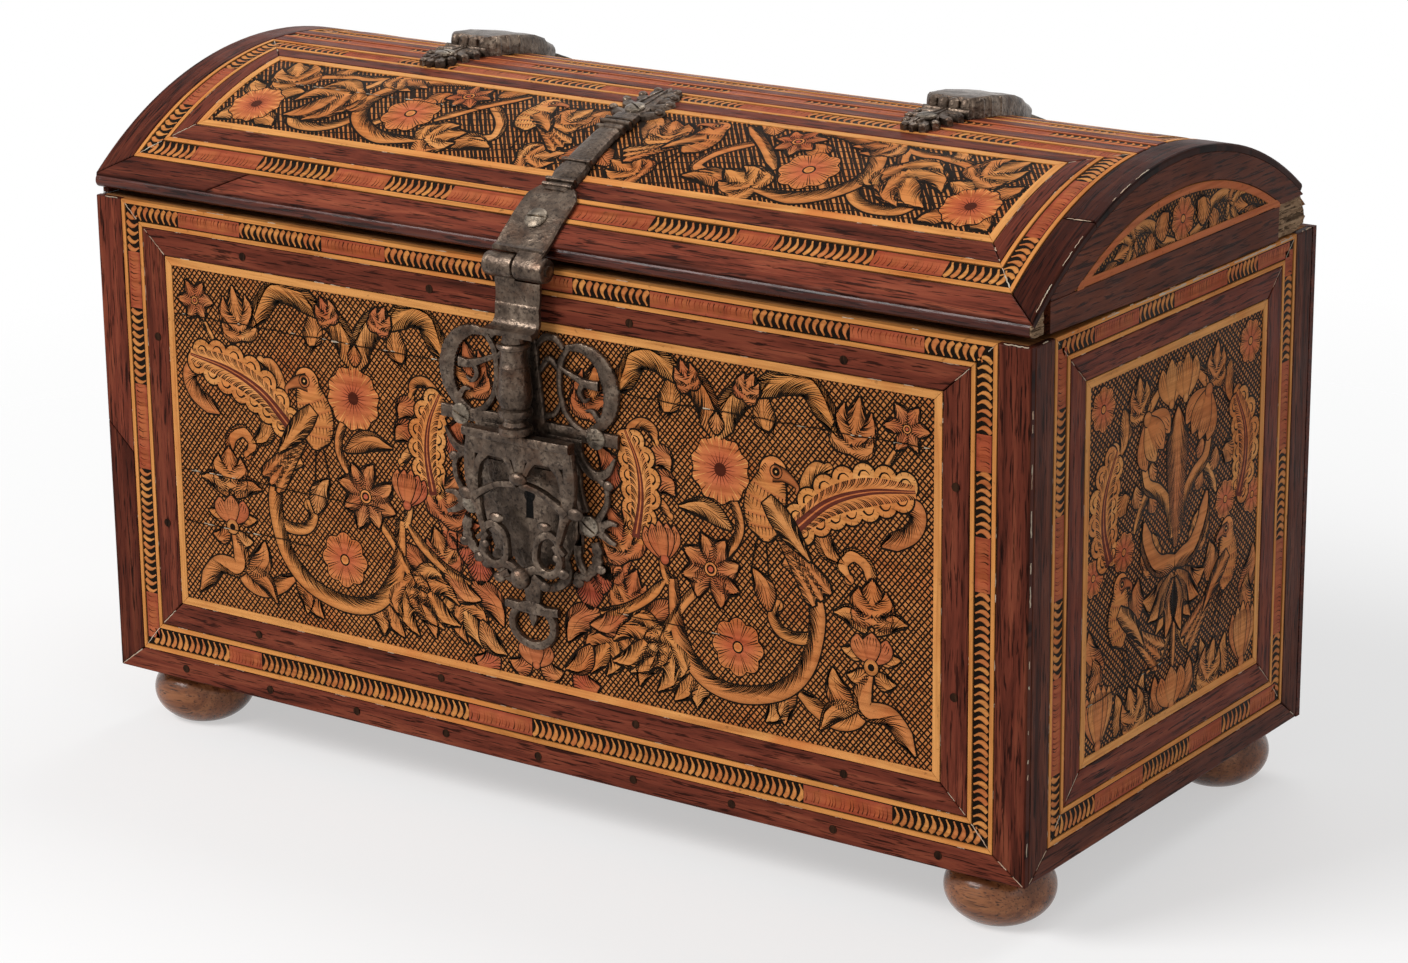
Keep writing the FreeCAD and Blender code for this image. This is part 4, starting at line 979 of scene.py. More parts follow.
    def tulip(self, base, tip, width, layer=1, red=0.35, petals=3):
        """A cup of broad petals that open from one foot, cut with a few lines at their rims."""
        b, t = self.p(base), self.p(tip)
        d = t - b
        wide = left_of(d) * (FULL * width / d.length)
        half = FULL * width * 0.5 * (1.0 / petals + 0.1)
        size = lambda x: half * taper(x, 0.3, 0.1, 0.62)
        outer_first = sorted(range(petals), key=lambda k: -abs(k - (petals - 1) / 2))
        for rank, k in enumerate(outer_first):
            share = 2.0 * k / (petals - 1) - 1
            end = t + wide * 0.36 * share - d * 0.14 * abs(share)
            path = curve([b, b + d * 0.5 + wide * 0.3 * share, end], 0.9)
            tone = self.tone(red * self.rng.uniform(0.6, 1.0))
            cut = self.shape(path, size, layer + 0.25 * rank, tone, 0.35, outline=0.45)
            q = sides(path)[len(path) // 2][1]
            for off in (-0.55, -0.2, 0.2, 0.55):
                rim = path[int(0.86 * len(path))]
                heart = path[int(self.rng.uniform(0.35, 0.6) * len(path))]
                line = [rim + q * off * half * 0.8, (rim + heart) / 2 + q * off * half,
                        heart + q * off * half * 0.6]
                self.sheet.stroke(line, 0.42, cut)
        self.dot(base, 0.13 * width, layer + 0.25 * petals, red)

    def bird(self, head, beak, body, tail, wing, feet, size, layer=1):
        """A perched bird: tail, legs, banded body, wing, beak, head and eye."""
        hv, bv, tail_p, wing_p, beak_p = [self.p(point) for point in (head, body, tail, wing, beak)]
        self.bird_tail(bv, tail_p, 0.16 * size, layer)
        for foot in feet:
            f = self.p(foot)
            knee = (bv + f) / 2 + Vector((0.3 * self.side, 0.0))
            self.sheet.stroke([bv, knee, f], 0.9, 3 * layer + 2.2, tail=0.7)
            for toe in (-1.6, 0.2, 1.8):
                claw = [f, f + Vector((toe * 0.6, -0.3)), f + Vector((toe, -0.9))]
                self.sheet.stroke(claw, 0.55, 3 * layer + 2.3)
        tone = self.tone(0.05)
        skin = self.bird_body(hv, bv, tail_p, tone, size, layer)
        start = hv + (bv - hv) * 0.75
        bow = Vector((0.06 * size * self.side, 0.05 * size))
        path = curve([start, (start + wing_p) / 2 + bow, wing_p], 0.9)
        wing_size = lambda t: 0.27 * size * taper(t, 0.55, 0.1, 0.35)
        cut = self.shape(path, wing_size, layer + 1.4, self.tone(0.2), 0.5)
        self.shading(path, wing_size, cut, pitch=1.0, depth=0.8, lean=2.4)
        out, fill, cut = self.levels(layer + 1.5)
        down = Vector((0.0, -0.14 * size))
        bill = curve([hv, (hv + beak_p) / 2 - 0.5 * down, beak_p, beak_p + down], 0.5)
        bill_size = lambda t: 0.21 * size * (1 - 0.88 * t)
        self.sheet.ribbon(bill, lambda t: bill_size(t) + 0.4, out, MASTIC)
        self.sheet.ribbon(bill, bill_size, fill, AMBER, SCORCH)
        self.sheet.fan(hv, 0.35 * size + 0.6, skin - 1.9, MASTIC, count=20)
        self.sheet.fan(hv, 0.35 * size, skin - 0.3, blend(tone, RED, 0.35), tone, count=20)
        eye = hv + (beak_p - hv) * 0.12 + Vector((0.0, 0.05 * size))
        self.sheet.fan(eye, 0.10 * size, cut + 0.2, MASTIC, count=12, rings=(1.0,))
        self.sheet.annulus(eye, 0.17 * size, 0.145 * size, cut + 0.2, MASTIC, count=16)
        self.sheet.fan(eye, 0.03 * size, cut + 0.4, PALE, count=8, rings=(1.0,))

    def bird_tail(self, root, tip, half, layer):
        """Three long feathers that spread a little."""
        d = tip - root
        narrow = lambda t: half * (0.75 + 0.25 * t) * (1 if t < 0.9 else 1 - 6 * (t - 0.9))
        for off in (-0.12, 0.12, 0.0):
            aside = left_of(d) * off
            path = curve([root + d * 0.2, root + d * 0.6 + aside * 0.4, tip + aside], 1.0)
            cut = self.shape(path, narrow, layer, self.tone(0.25), 0.4)
            self.shading(path, narrow, cut, pitch=1.4)

    def bird_body(self, hv, bv, tail_p, tone, size, layer):
        """The plump body with four rows of short feathers; gives the height of its cuts."""
        d = bv - hv
        path = curve([hv - d * 0.18, hv + d * 0.35, bv, bv + d * 0.62 + (tail_p - bv) * 0.12], 0.9)
        half = 0.5 * size

        def plump(t):
            swell = half * (0.50 + 0.55 * math.sin(math.pi * min(1.0, max(0.0, t * 0.95)) ** 1.15))
            return swell * (1.0 if t < 0.8 else 1.0 - 0.8 * ((t - 0.8) / 0.2) ** 2)

        cut = self.shape(path, plump, layer + 0.7, tone, 0.35)
        self.shading(path, plump, cut, pitch=1.1, depth=0.42, lean=0.6)
        frames = sides(path)
        for share in (0.36, 0.52, 0.68, 0.82):
            k = int(share * (len(path) - 1))
            p, (along, q) = path[k], frames[k]
            h = plump(share)
            band = curve([p - q * h * 0.95, p + along * 0.9, p + q * h * 0.95], 0.9)
            self.sheet.ribbon(band, 0.1 * size * 0.5, cut + 0.1, blend(AMBER, SCORCH, 0.25), tone)
            for j in range(9):
                x = (j + 0.5) / 4.5 - 1
                a = p + q * h * 0.92 * x + along * 0.9 * (1 - x * x)
                quill = [a, a + along * 0.11 * size + q * 0.2, a + along * 0.2 * size]
                self.sheet.stroke(quill, 0.5, cut + 0.3)
        return cut


# Crossed hatching
def hatch(sheet, rect, slope, pitch, width, level, rng, hole=None, shape=None):
    """Parallel cut lines across a rectangle or a shape inside it, leaving out an inner rectangle."""
    d = unit(slope)
    q = left_of(d)
    offsets = [Vector(c).dot(q) for c in corners_of(rect)]
    offset = min(offsets) + pitch * 0.5
    while offset < max(offsets):
        origin = q * (offset + rng.uniform(-0.12, 0.12) * pitch)
        span = shape(origin, d) if shape else clip(origin, d, rect)
        pieces = [span] if span else []
        if hole and span:
            cutout = clip(origin, d, hole)
            if cutout:
                pieces = [(span[0], cutout[0]), (cutout[1], span[1])]
        for a, b in pieces:
            if b - a >= 1.0:
                hatch_line(sheet, origin, d, a, b, offset, width, level, rng)
        offset += pitch


def hatch_line(sheet, origin, d, start, end, offset, width, level, rng):
    """One cut of a hatching, with a slight sway."""
    count = max(2, int((end - start) / 3.5))
    path = []
    for i, x in enumerate(spread(start, end, count)):
        sway = 0.12 * math.sin(0.35 * x + 1.7 * offset)
        path.append(origin + d * x + left_of(d) * (sway if 0 < i < count else 0.0))
    half = 0.5 * width * rng.uniform(0.85, 1.15)
    tint = blend(MASTIC, SCORCH, rng.random() * 0.6)
    sheet.ribbon(path, half, level, tint, columns=PLAIN_LINE)


def clip(origin, d, rect):
    """The stretch of a line that lies inside a rectangle."""
    low, high = -1e9, 1e9
    for k, (a, b) in enumerate(((rect[0], rect[2]), (rect[1], rect[3]))):
        if abs(d[k]) < 1e-9:
            if not a <= origin[k] <= b:
                return None
            continue
        t0, t1 = sorted(((a - origin[k]) / d[k], (b - origin[k]) / d[k]))
        low, high = max(low, t0), min(high, t1)
    return (low, high) if high > low else None


# Drawings of the panels, in the sketch units of each panel
def front_half(pen):
    """The left half of the front panel: scrolls, leaves, flowers and a bird."""
    pen.scroll([(600, 668), (530, 705), (482, 790), (488, 900), (530, 1010), (620, 1090), (770, 1128),
               (900, 1098), (988, 985), (1012, 800)], 6.8, head=0.5, tail=0.6)
    pen.scroll([(492, 880), (540, 905), (610, 895), (642, 850), (622, 812)], 4.4, ball=2.2)
    pen.scroll([(830, 470), (778, 520), (760, 600), (806, 690)], 3.4)
    pen.scroll([(1030, 820), (1046, 760), (1045, 700)], 3.4)
    pen.scroll([(890, 790), (970, 870), (1060, 1000)], 3.8)
    pen.scroll([(1040, 810), (1110, 880), (1200, 935), (1290, 960)], 3.8)
    pen.leaf((668, 150), (652, 268), 7.5, bend=0.1, layer=0, top=0.7)
    pen.leaf((1012, 150), (1036, 268), 7.5, bend=-0.1, layer=0, top=0.7)
    pen.scroll([(700, 150), (610, 112), (520, 104), (462, 160), (412, 236)], 9.5, red=0.0, head=0.6,
               tail=0.15, both=True)
    pen.scroll([(985, 150), (1060, 108), (1130, 112), (1172, 170), (1222, 236)], 9.5, red=0.0, head=0.6,
               tail=0.15, both=True)
    pen.scroll([(836, 320), (808, 240), (760, 180), (690, 135)], 10.5, layer=2, head=0.25, tail=0.5,
               both=True)
    pen.scroll([(848, 320), (870, 235), (912, 170), (968, 130)], 10.5, layer=2, head=0.25, tail=0.5,
               both=True)
    pen.lobed((742, 176), (706, 100), 9, layer=3, red=0.7)
    pen.lobed((940, 176), (972, 96), 9, layer=3, red=0.7)
    pen.leaf((842, 308), (842, 240), 5, layer=3, red=0.2)
    pen.scroll([(245, 322), (206, 262), (170, 215)], 2.2, layer=0)
    pen.star((165, 185), 9.5, petals=6, ring=1.6, red=0.35)
    pen.lobed((362, 285), (330, 118), 13, red=0.35)
    pen.scroll([(500, 500), (522, 430), (492, 366), (440, 350)], 5.4, layer=0, ball=2.0)
    pen.scroll([(172, 395), (126, 440), (150, 505), (250, 560)], 6.8, layer=0, red=0.4, tail=0.1)
    pen.leaf((470, 520), (380, 640), 6, bend=0.2, layer=0)
    pen.feather([(560, 560), (440, 458), (300, 400), (135, 372)], 18, scallops=7)
    pen.leaf((790, 600), (985, 560), 6.5, bend=0.14)
    pen.poppy((830, 418), 13.6, layer=2)
    pen.star((868, 742), 14.5, petals=8, layer=2, ring=2.7, start=0.3)
    pen.tulip((1040, 742), (1062, 622), 15, layer=2, red=0.85, petals=5)
    pen.leaf((655, 835), (712, 712), 7, bend=0.1, layer=2, red=0.15)
    pen.rosette((770, 975), 11.7, layer=2)
    pen.scroll([(286, 700), (298, 636), (350, 604), (392, 640), (366, 684)], 5.0, layer=0, ball=2.0)
    pen.leaf((270, 838), (160, 790), 6, bend=-0.2)
    pen.leaf((306, 838), (420, 795), 6, bend=0.2)
    pen.leaf((268, 880), (185, 905), 5, bend=0.2, layer=0)
    pen.leaf((308, 880), (392, 905), 5, bend=-0.2, layer=0)
    pen.lobed((286, 826), (284, 672), 14, lobes=3, red=0.35)
    pen.tulip((287, 930), (285, 838), 14, layer=2, red=0.75)
    pen.dot((287, 946), 3.1, layer=3, hole=1.5)
    pen.leaf((270, 960), (200, 985), 5, bend=0.2)
    pen.leaf((304, 960), (372, 985), 5, bend=-0.2)
    pen.scroll([(290, 970), (318, 1040), (300, 1086), (215, 1092), (130, 1196)], 7.6, red=0.3, head=0.3,
               tail=0.1)
    pen.scroll([(305, 1066), (350, 1128), (430, 1140), (545, 1078)], 6.6, layer=0, tail=0.5)
    pen.leaf((350, 1100), (425, 975), 8, bend=-0.15, red=0.15)
    pen.leaf((330, 1080), (470, 1180), 6, bend=0.15)
    pen.leaf((560, 1062), (600, 1190), 7, bend=0.15, layer=0)
    pen.leaf((600, 1090), (668, 1196), 7, bend=-0.1, layer=0)
    pen.leaf((880, 1100), (925, 1205), 7, bend=0.15, layer=0)
    pen.leaf((950, 1060), (1010, 1195), 7, bend=-0.15, layer=0)
    pen.lobed((1010, 1010), (1140, 1170), 15, bend=0.12)
    pen.lobed((1060, 985), (1240, 1110), 14, bend=-0.1, red=0.25)
    pen.leaf((1000, 880), (1120, 990), 7, bend=0.1, layer=0, red=0.3)
    pen.leaf((1190, 930), (1330, 1010), 8, bend=-0.15, red=0.3)
    pen.lobed((1230, 1010), (1330, 1165), 13, layer=0)
    pen.leaf((1290, 960), (1420, 1080), 9, bend=0.15, layer=0, red=0.35)
    pen.leaf((1330, 1080), (1430, 1175), 7, bend=-0.15, red=0.15)
    pen.feather([(1150, 690), (1128, 560), (1140, 450), (1185, 350)], 15)
    pen.scroll([(1120, 560), (1060, 560), (1020, 600)], 3.6, layer=0, ball=1.6)
    pen.scroll([(1185, 360), (1130, 320), (1085, 330), (1070, 372)], 4.0, layer=0, ball=1.6)
    pen.lobed((1180, 760), (1260, 600), 14, red=0.7)
    pen.lobed((1190, 800), (1330, 760), 12, layer=0, red=0.75)
    pen.leaf((1250, 560), (1290, 420), 8, bend=0.2, layer=0, red=0.5)
    pen.lobed((1320, 330), (1290, 160), 14, layer=0, red=0.6)
    pen.lobed((1196, 930), (1150, 800), 14, layer=0, red=0.7)
    pen.leaf((1330, 960), (1372, 820), 10, bend=0.12, layer=0, red=0.65)
    pen.leaf((1290, 900), (1250, 800), 9, bend=-0.12, layer=0, red=0.6)
    pen.leaf((1094, 404), (1016, 456), 7, bend=-0.2, layer=0, red=0.3)
    pen.leaf((1090, 496), (1000, 530), 7.5, bend=-0.22, layer=0, red=0.3)
    pen.leaf((1400, 1190), (1300, 1210), 8, bend=0.2, layer=0, red=0.5)
    pen.bird(head=(636, 394), beak=(552, 424), body=(668, 512), tail=(462, 765), wing=(505, 650),
             feet=((655, 722), (722, 724)), size=17.5, layer=2)


def front_middle(pen):
    """The flower at the foot of the front panel."""
    pen.tulip((1548, 1186), (1548, 1098), 13, red=0.7)
    pen.leaf((1530, 1180), (1440, 1190), 6, bend=0.2, layer=0, red=0.3)
    pen.leaf((1566, 1180), (1656, 1190), 6, bend=-0.2, layer=0, red=0.3)


def lid_half(pen):
    """The left half of a lid panel: scrolls, leaves, flowers and a bird."""
    pen.scroll([(262, 278), (286, 250), (330, 236), (380, 232), (424, 216)], 4.6, layer=0, head=0.3,
               tail=0.3)
    pen.scroll([(410, 226), (400, 258), (376, 290)], 4.2, layer=0)
    pen.scroll([(306, 364), (334, 388), (384, 390), (424, 368), (442, 328)], 4.8, layer=0, tail=0.2)
    pen.scroll([(590, 208), (520, 210), (456, 242), (428, 306), (450, 358), (514, 392), (600, 386)], 6.6,
               head=0.2, tail=0.2)
    pen.scroll([(470, 372), (500, 340), (530, 330)], 3.4, layer=0)
    pen.lobed((258, 284), (204, 210), 16, layer=0)
    pen.leaf((210, 320), (172, 288), 7, bend=0.1, layer=0)
    pen.leaf((210, 380), (172, 402), 7, bend=-0.1, layer=0)
    pen.leaf((246, 326), (292, 302), 7, bend=0.1, layer=0)
    pen.leaf((246, 385), (294, 402), 7, bend=0.1, layer=0)
    pen.poppy((226, 354), 12.0)
    pen.lobed((424, 214), (500, 238), 13, red=0.25)
    pen.lobed((390, 276), (300, 370), 18, bend=0.1)
    pen.leaf((320, 246), (332, 206), 6.5, bend=0.2, layer=0)
    pen.leaf((434, 300), (398, 332), 8, bend=0.15)
    pen.leaf((545, 288), (566, 246), 8, bend=0.15)
    pen.rosette((530, 322), 12.6, layer=2)
    pen.star((596, 248), 10.5, petals=7, layer=2, ring=2.4, red=0.35)
    pen.scroll([(586, 332), (640, 276), (704, 220)], 4.4)
    pen.scroll([(650, 262), (684, 286), (712, 318), (720, 352), (684, 362)], 4.4, layer=0, ball=1.5)
    pen.lobed((592, 384), (664, 352), 15)
    pen.leaf((640, 388), (730, 378), 8, bend=0.15, layer=0)
    pen.leaf((648, 236), (690, 206), 7, bend=0.15, layer=0)
    pen.bird(head=(752, 236), beak=(788, 236), body=(752, 284), tail=(858, 352), wing=(806, 318),
             feet=((770, 372), (792, 372)), size=13.0)
    pen.lobed((812, 300), (836, 234), 16, layer=0, red=0.25)
    pen.lobed((800, 392), (872, 366), 12, layer=0, red=0.3)
    pen.leaf((850, 300), (900, 228), 9, bend=0.2, layer=0, red=0.2)
    pen.leaf((870, 380), (908, 300), 9, bend=-0.2, layer=0, red=0.3)


def end_half(pen):
    """The left half of an end panel: scrolls, tulips, a feather leaf, flowers and a bird."""
    pen.scroll([(556, 962), (540, 900), (500, 858), (452, 830), (436, 760), (452, 690), (500, 648),
               (536, 624)], 5.6, head=0.7)
    pen.scroll([(470, 838), (438, 868), (410, 916)], 3.8, layer=0)
    pen.scroll([(566, 1014), (505, 1006), (462, 962), (446, 905)], 8.5, layer=2, head=0.6, tail=0.2)
    pen.rosette((287, 642), 8.8)
    pen.leaf((363, 662), (352, 752), 7, bend=0.15, layer=0)
    pen.scroll([(352, 742), (330, 726), (318, 746)], 3.4, layer=0, ball=1.6)
    pen.lobed((424, 694), (418, 612), 12, red=0.3)
    pen.tulip((540, 694), (536, 606), 15, layer=2, red=0.2)
    pen.tulip((450, 702), (500, 786), 22, layer=2, red=0.25, petals=4)
    pen.leaf((484, 830), (472, 790), 6, bend=0.1, layer=0, red=0.2)
    pen.leaf((488, 892), (474, 850), 6, bend=0.1, layer=0, red=0.2)
    pen.leaf((430, 868), (414, 824), 6, bend=0.1, layer=0, red=0.2)
    pen.feather([(320, 950), (296, 880), (300, 810), (340, 735)], 18.5)
    pen.leaf((350, 866), (390, 838), 7.5, bend=0.15)
    pen.rosette((372, 942), 8.0)
    pen.rosette((262, 962), 7.6, layer=0)
    pen.lobed((486, 1000), (452, 934), 12)
    pen.leaf((556, 1034), (446, 1062), 10, bend=0.25, layer=0)
    pen.leaf((560, 1036), (470, 1110), 9.5, bend=0.12)
    pen.leaf((562, 1042), (500, 1144), 9, bend=0.08)
    pen.leaf((564, 1048), (538, 1160), 8, bend=0.04, layer=2)
    pen.scroll([(566, 1060), (552, 1140), (522, 1196), (470, 1214)], 4.2, layer=0)
    pen.leaf((434, 1092), (430, 1012), 9, bend=0.12, layer=0, red=0.2)
    pen.leaf((306, 1150), (250, 1066), 9, bend=0.2, layer=0, red=0.2)
    pen.leaf((258, 1196), (268, 1122), 8, bend=-0.2, layer=0, red=0.2)
    pen.tulip((288, 1302), (286, 1178), 18, petals=5)
    pen.leaf((352, 1304), (356, 1222), 7, bend=-0.15, layer=0)
    pen.lobed((430, 1310), (402, 1222), 15)
    pen.leaf((474, 1296), (456, 1204), 8, bend=0.2, layer=0)
    pen.leaf((542, 1300), (500, 1230), 8, bend=0.2, red=0.15)
    pen.bird(head=(362, 1006), beak=(400, 1014), body=(356, 1072), tail=(520, 1196), wing=(452, 1150),
             feet=((388, 1194), (412, 1192)), size=14.5, layer=2)


def end_middle(pen):
    """The stem, tall leaf and tulip in the middle of an end panel."""
    pen.scroll([(567, 1236), (567, 1140), (567, 1050)], 3.2, layer=2)
    pen.leaf((568, 985), (567, 706), 12.5, red=0.25, top=0.75)
    pen.tulip((566, 1306), (562, 1228), 17, layer=2)


def lunette_half(pen):
    """The left half of a lunette: a scroll with leaves."""
    pen.scroll([(548, 362), (500, 352), (460, 318), (414, 312), (384, 334), (398, 356)], 4.6, layer=0,
               ball=2.0)
    pen.leaf((500, 352), (520, 304), 8.5, bend=0.2)
    pen.leaf((460, 330), (472, 374), 7, bend=-0.2, layer=0)
    pen.lobed((400, 334), (322, 350), 10, layer=0)
    pen.leaf((330, 358), (252, 369), 5, bend=0.1, layer=0, red=0.2)


def lunette_middle(pen):
    """The flower in the middle of a lunette."""
    pen.rosette((577, 326), 8.6)


# Panels: ground, crossed hatching, drawing and cracks
BORDER = 3.4
HATCH_LEVELS = (0.3, 0.5)
CRACK_LEVEL = 15.7
LID_LINE = 0.95


def ground_slab(place, rect, name, body, node, hole):
    """The veneer under a panel's drawing, with its golden border slips; gives the field inside them."""
    widths = (BORDER,) * 4
    block = Sheet(place)
    for k, corners in enumerate(ring_runs(rect, widths)):
        block.strip(shrunk(corners, 0.05), top=-0.05, round_=0.15, tint=blend(GOLD, PALE, 0.3), seed=k + 0.5,
                    rim=0.7, wear=0.03)
    field = inside(rect, widths)
    parts = [field]
    if hole:
        u0, v0, u1, v1 = field
        a, b, c, d = hole
        parts = [(u0, v0, a, v1), (c, v0, u1, v1), (a, v0, c, b), (a, d, c, v1)]
    for part in parts:
        block.strip(corners_of(part), top=GROUND_N, round_=0.02, tint=GROUND, rim=1.0, wear=0.0, cell=4.0)
    block.piece(name, INLAY, body, "inlay", node)
    return field


def draw_panel(art, half, middle, to_face, width, seed, line=LINE):
    """A half drawing, its mirror image about the middle of the face, and what stands in the middle."""
    def mirrored(x, y):
        u, v = to_face(x, y)
        return (width - u, v)

    half(Pen(art, to_face, random.Random(seed + 1), 1, line))
    half(Pen(art, mirrored, random.Random(seed + 2), -1, line))
    if middle:
        middle(Pen(art, to_face, random.Random(seed + 3), 1, line))


def crack(sheet, start, end, rng, pale):
    """A shrinkage crack: a ragged dark line with bits of old pale filler."""
    start, end = Vector(start), Vector(end)
    d = end - start
    count = max(3, int(d.length / 6))
    path = [start + d * i / count + Vector((0.0, rng.uniform(-0.35, 0.35))) for i in range(count + 1)]
    sheet.ribbon(curve(path, 2.0), 0.22, CRACK_LEVEL, MASTIC, columns=PLAIN_LINE)
    for _ in range(int(d.length * pale / 6)):
        a = start + d * rng.random()
        b = a + d.normalized() * rng.uniform(1.0, 4.0)
        if (b - start).length > d.length:
            continue
        lift = Vector((0.0, rng.uniform(-0.2, 0.3)))
        bit = [a + lift, (a + b) / 2 + lift, b + lift]
        sheet.stroke(bit, rng.uniform(0.3, 0.7), CRACK_LEVEL + 0.3, FILLER, tail=0.3)


def make_panel(name, place, rect, body, node, drawings, to_face, width, seed, cuts, line=LINE, hole=None,
               cracks=()):
    """One inlaid panel: cuts gives the slope in degrees, the pitch and the width of its two hatchings."""
    rng = random.Random(seed)
    field = ground_slab(place, rect, name + "_ground", body, node, hole)
    art = Sheet(place)
    for level, (slope, pitch, cut) in zip(HATCH_LEVELS, cuts):
        hatch(art, field, math.radians(slope), pitch, cut, level, rng, hole)
    draw_panel(art, *drawings, to_face, width, seed, line)
    for start, end, pale in cracks:
        crack(art, start, end, rng, pale)
    art.piece(name + "_drawing", INLAY, body, "inlay")


# the front panel leaves room for the lock's mortise
MORTISE = (200.0, 95.0, 250.0, 138.0)
FRONT_LEFT, FRONT_TOP, FRONT_UNITS = 31.5, 192, 8
FRONT_CUTS = ((52, 1.8, 0.74), (-38, 1.9, 0.68))
FRONT_CRACKS = (((41, 162), (196, 162.6), 0.5), ((254, 162.5), (409, 163.1), 0.35),
                ((41, 95), (150, 95.6), 0.35), ((41, 72.5), (110, 73.1), 0.5), ((265, 73), (320, 73.6), 0.3))


def front_sketch(x, y):
    return (FRONT_LEFT + x / FRONT_UNITS, FRONT_TOP - y / FRONT_UNITS)


make_panel("front_panel", on_front, FRONT["panel"], "case", "front_inlay_panel", (front_half, front_middle),
           front_sketch, WIDTH, 21, FRONT_CUTS, hole=MORTISE, cracks=FRONT_CRACKS)

# the end panels are alike
END_MIDDLE_X, END_FOOT_Y, END_UNITS_X, END_UNITS_Y = 567, 1500, 4.85, 5
END_CUTS = ((50, 1.9, 1.05), (-42, 2.0, 0.95))
END_CRACKS = (((44, 58), (110, 58.6), 0.4),)


def end_sketch(x, y):
    return (DEPTH / 2 + (x - END_MIDDLE_X) / END_UNITS_X, (END_FOOT_Y - y) / END_UNITS_Y)


for side, place, seed in (("right", on_right, 31), ("left", on_left, 41)):
    make_panel(side + "_panel", place, END["panel"], "case", side + "_inlay_panel", (end_half, end_middle),
               end_sketch, DEPTH, seed, END_CUTS, cracks=END_CRACKS)

# the lid's back panel is its front one carried over the ridge
LID_LEFT_X, LID_FOOT_Y, LID_UNITS = 17, 561, 4
LID_CRACKS = (((36, 68.6), (168, 69.4), 0.7),)


def lid_sketch(x, y):
    return ((x - LID_LEFT_X) / LID_UNITS, (LID_FOOT_Y - y) / LID_UNITS)


def lid_back_sketch(x, y):
    u, s = lid_sketch(x, y)
    return (u, ARC - s)


def lid_cuts(lean):
    return ((lean * 52, 1.75, 1.22), (lean * -12, 4.4, 0.7))


make_panel("lid_front_panel", on_lid, LID_PANEL, "lid", "lid_front_panel", (lid_half, None),
           lid_sketch, WIDTH, 51, lid_cuts(-1), LID_LINE, cracks=LID_CRACKS)
make_panel("lid_back_panel", on_lid, carried(LID_PANEL), "lid", "lid_back_panel", (lid_half, None),
           lid_back_sketch, WIDTH, 61, lid_cuts(1), LID_LINE)


# Ironwork
HAMMER_SCALE = 0.28
HAMMER_OFFSETS = ((0.0, 0.0, 0.0), (31.0, 7.0, 3.0), (5.0, 19.0, 43.0))


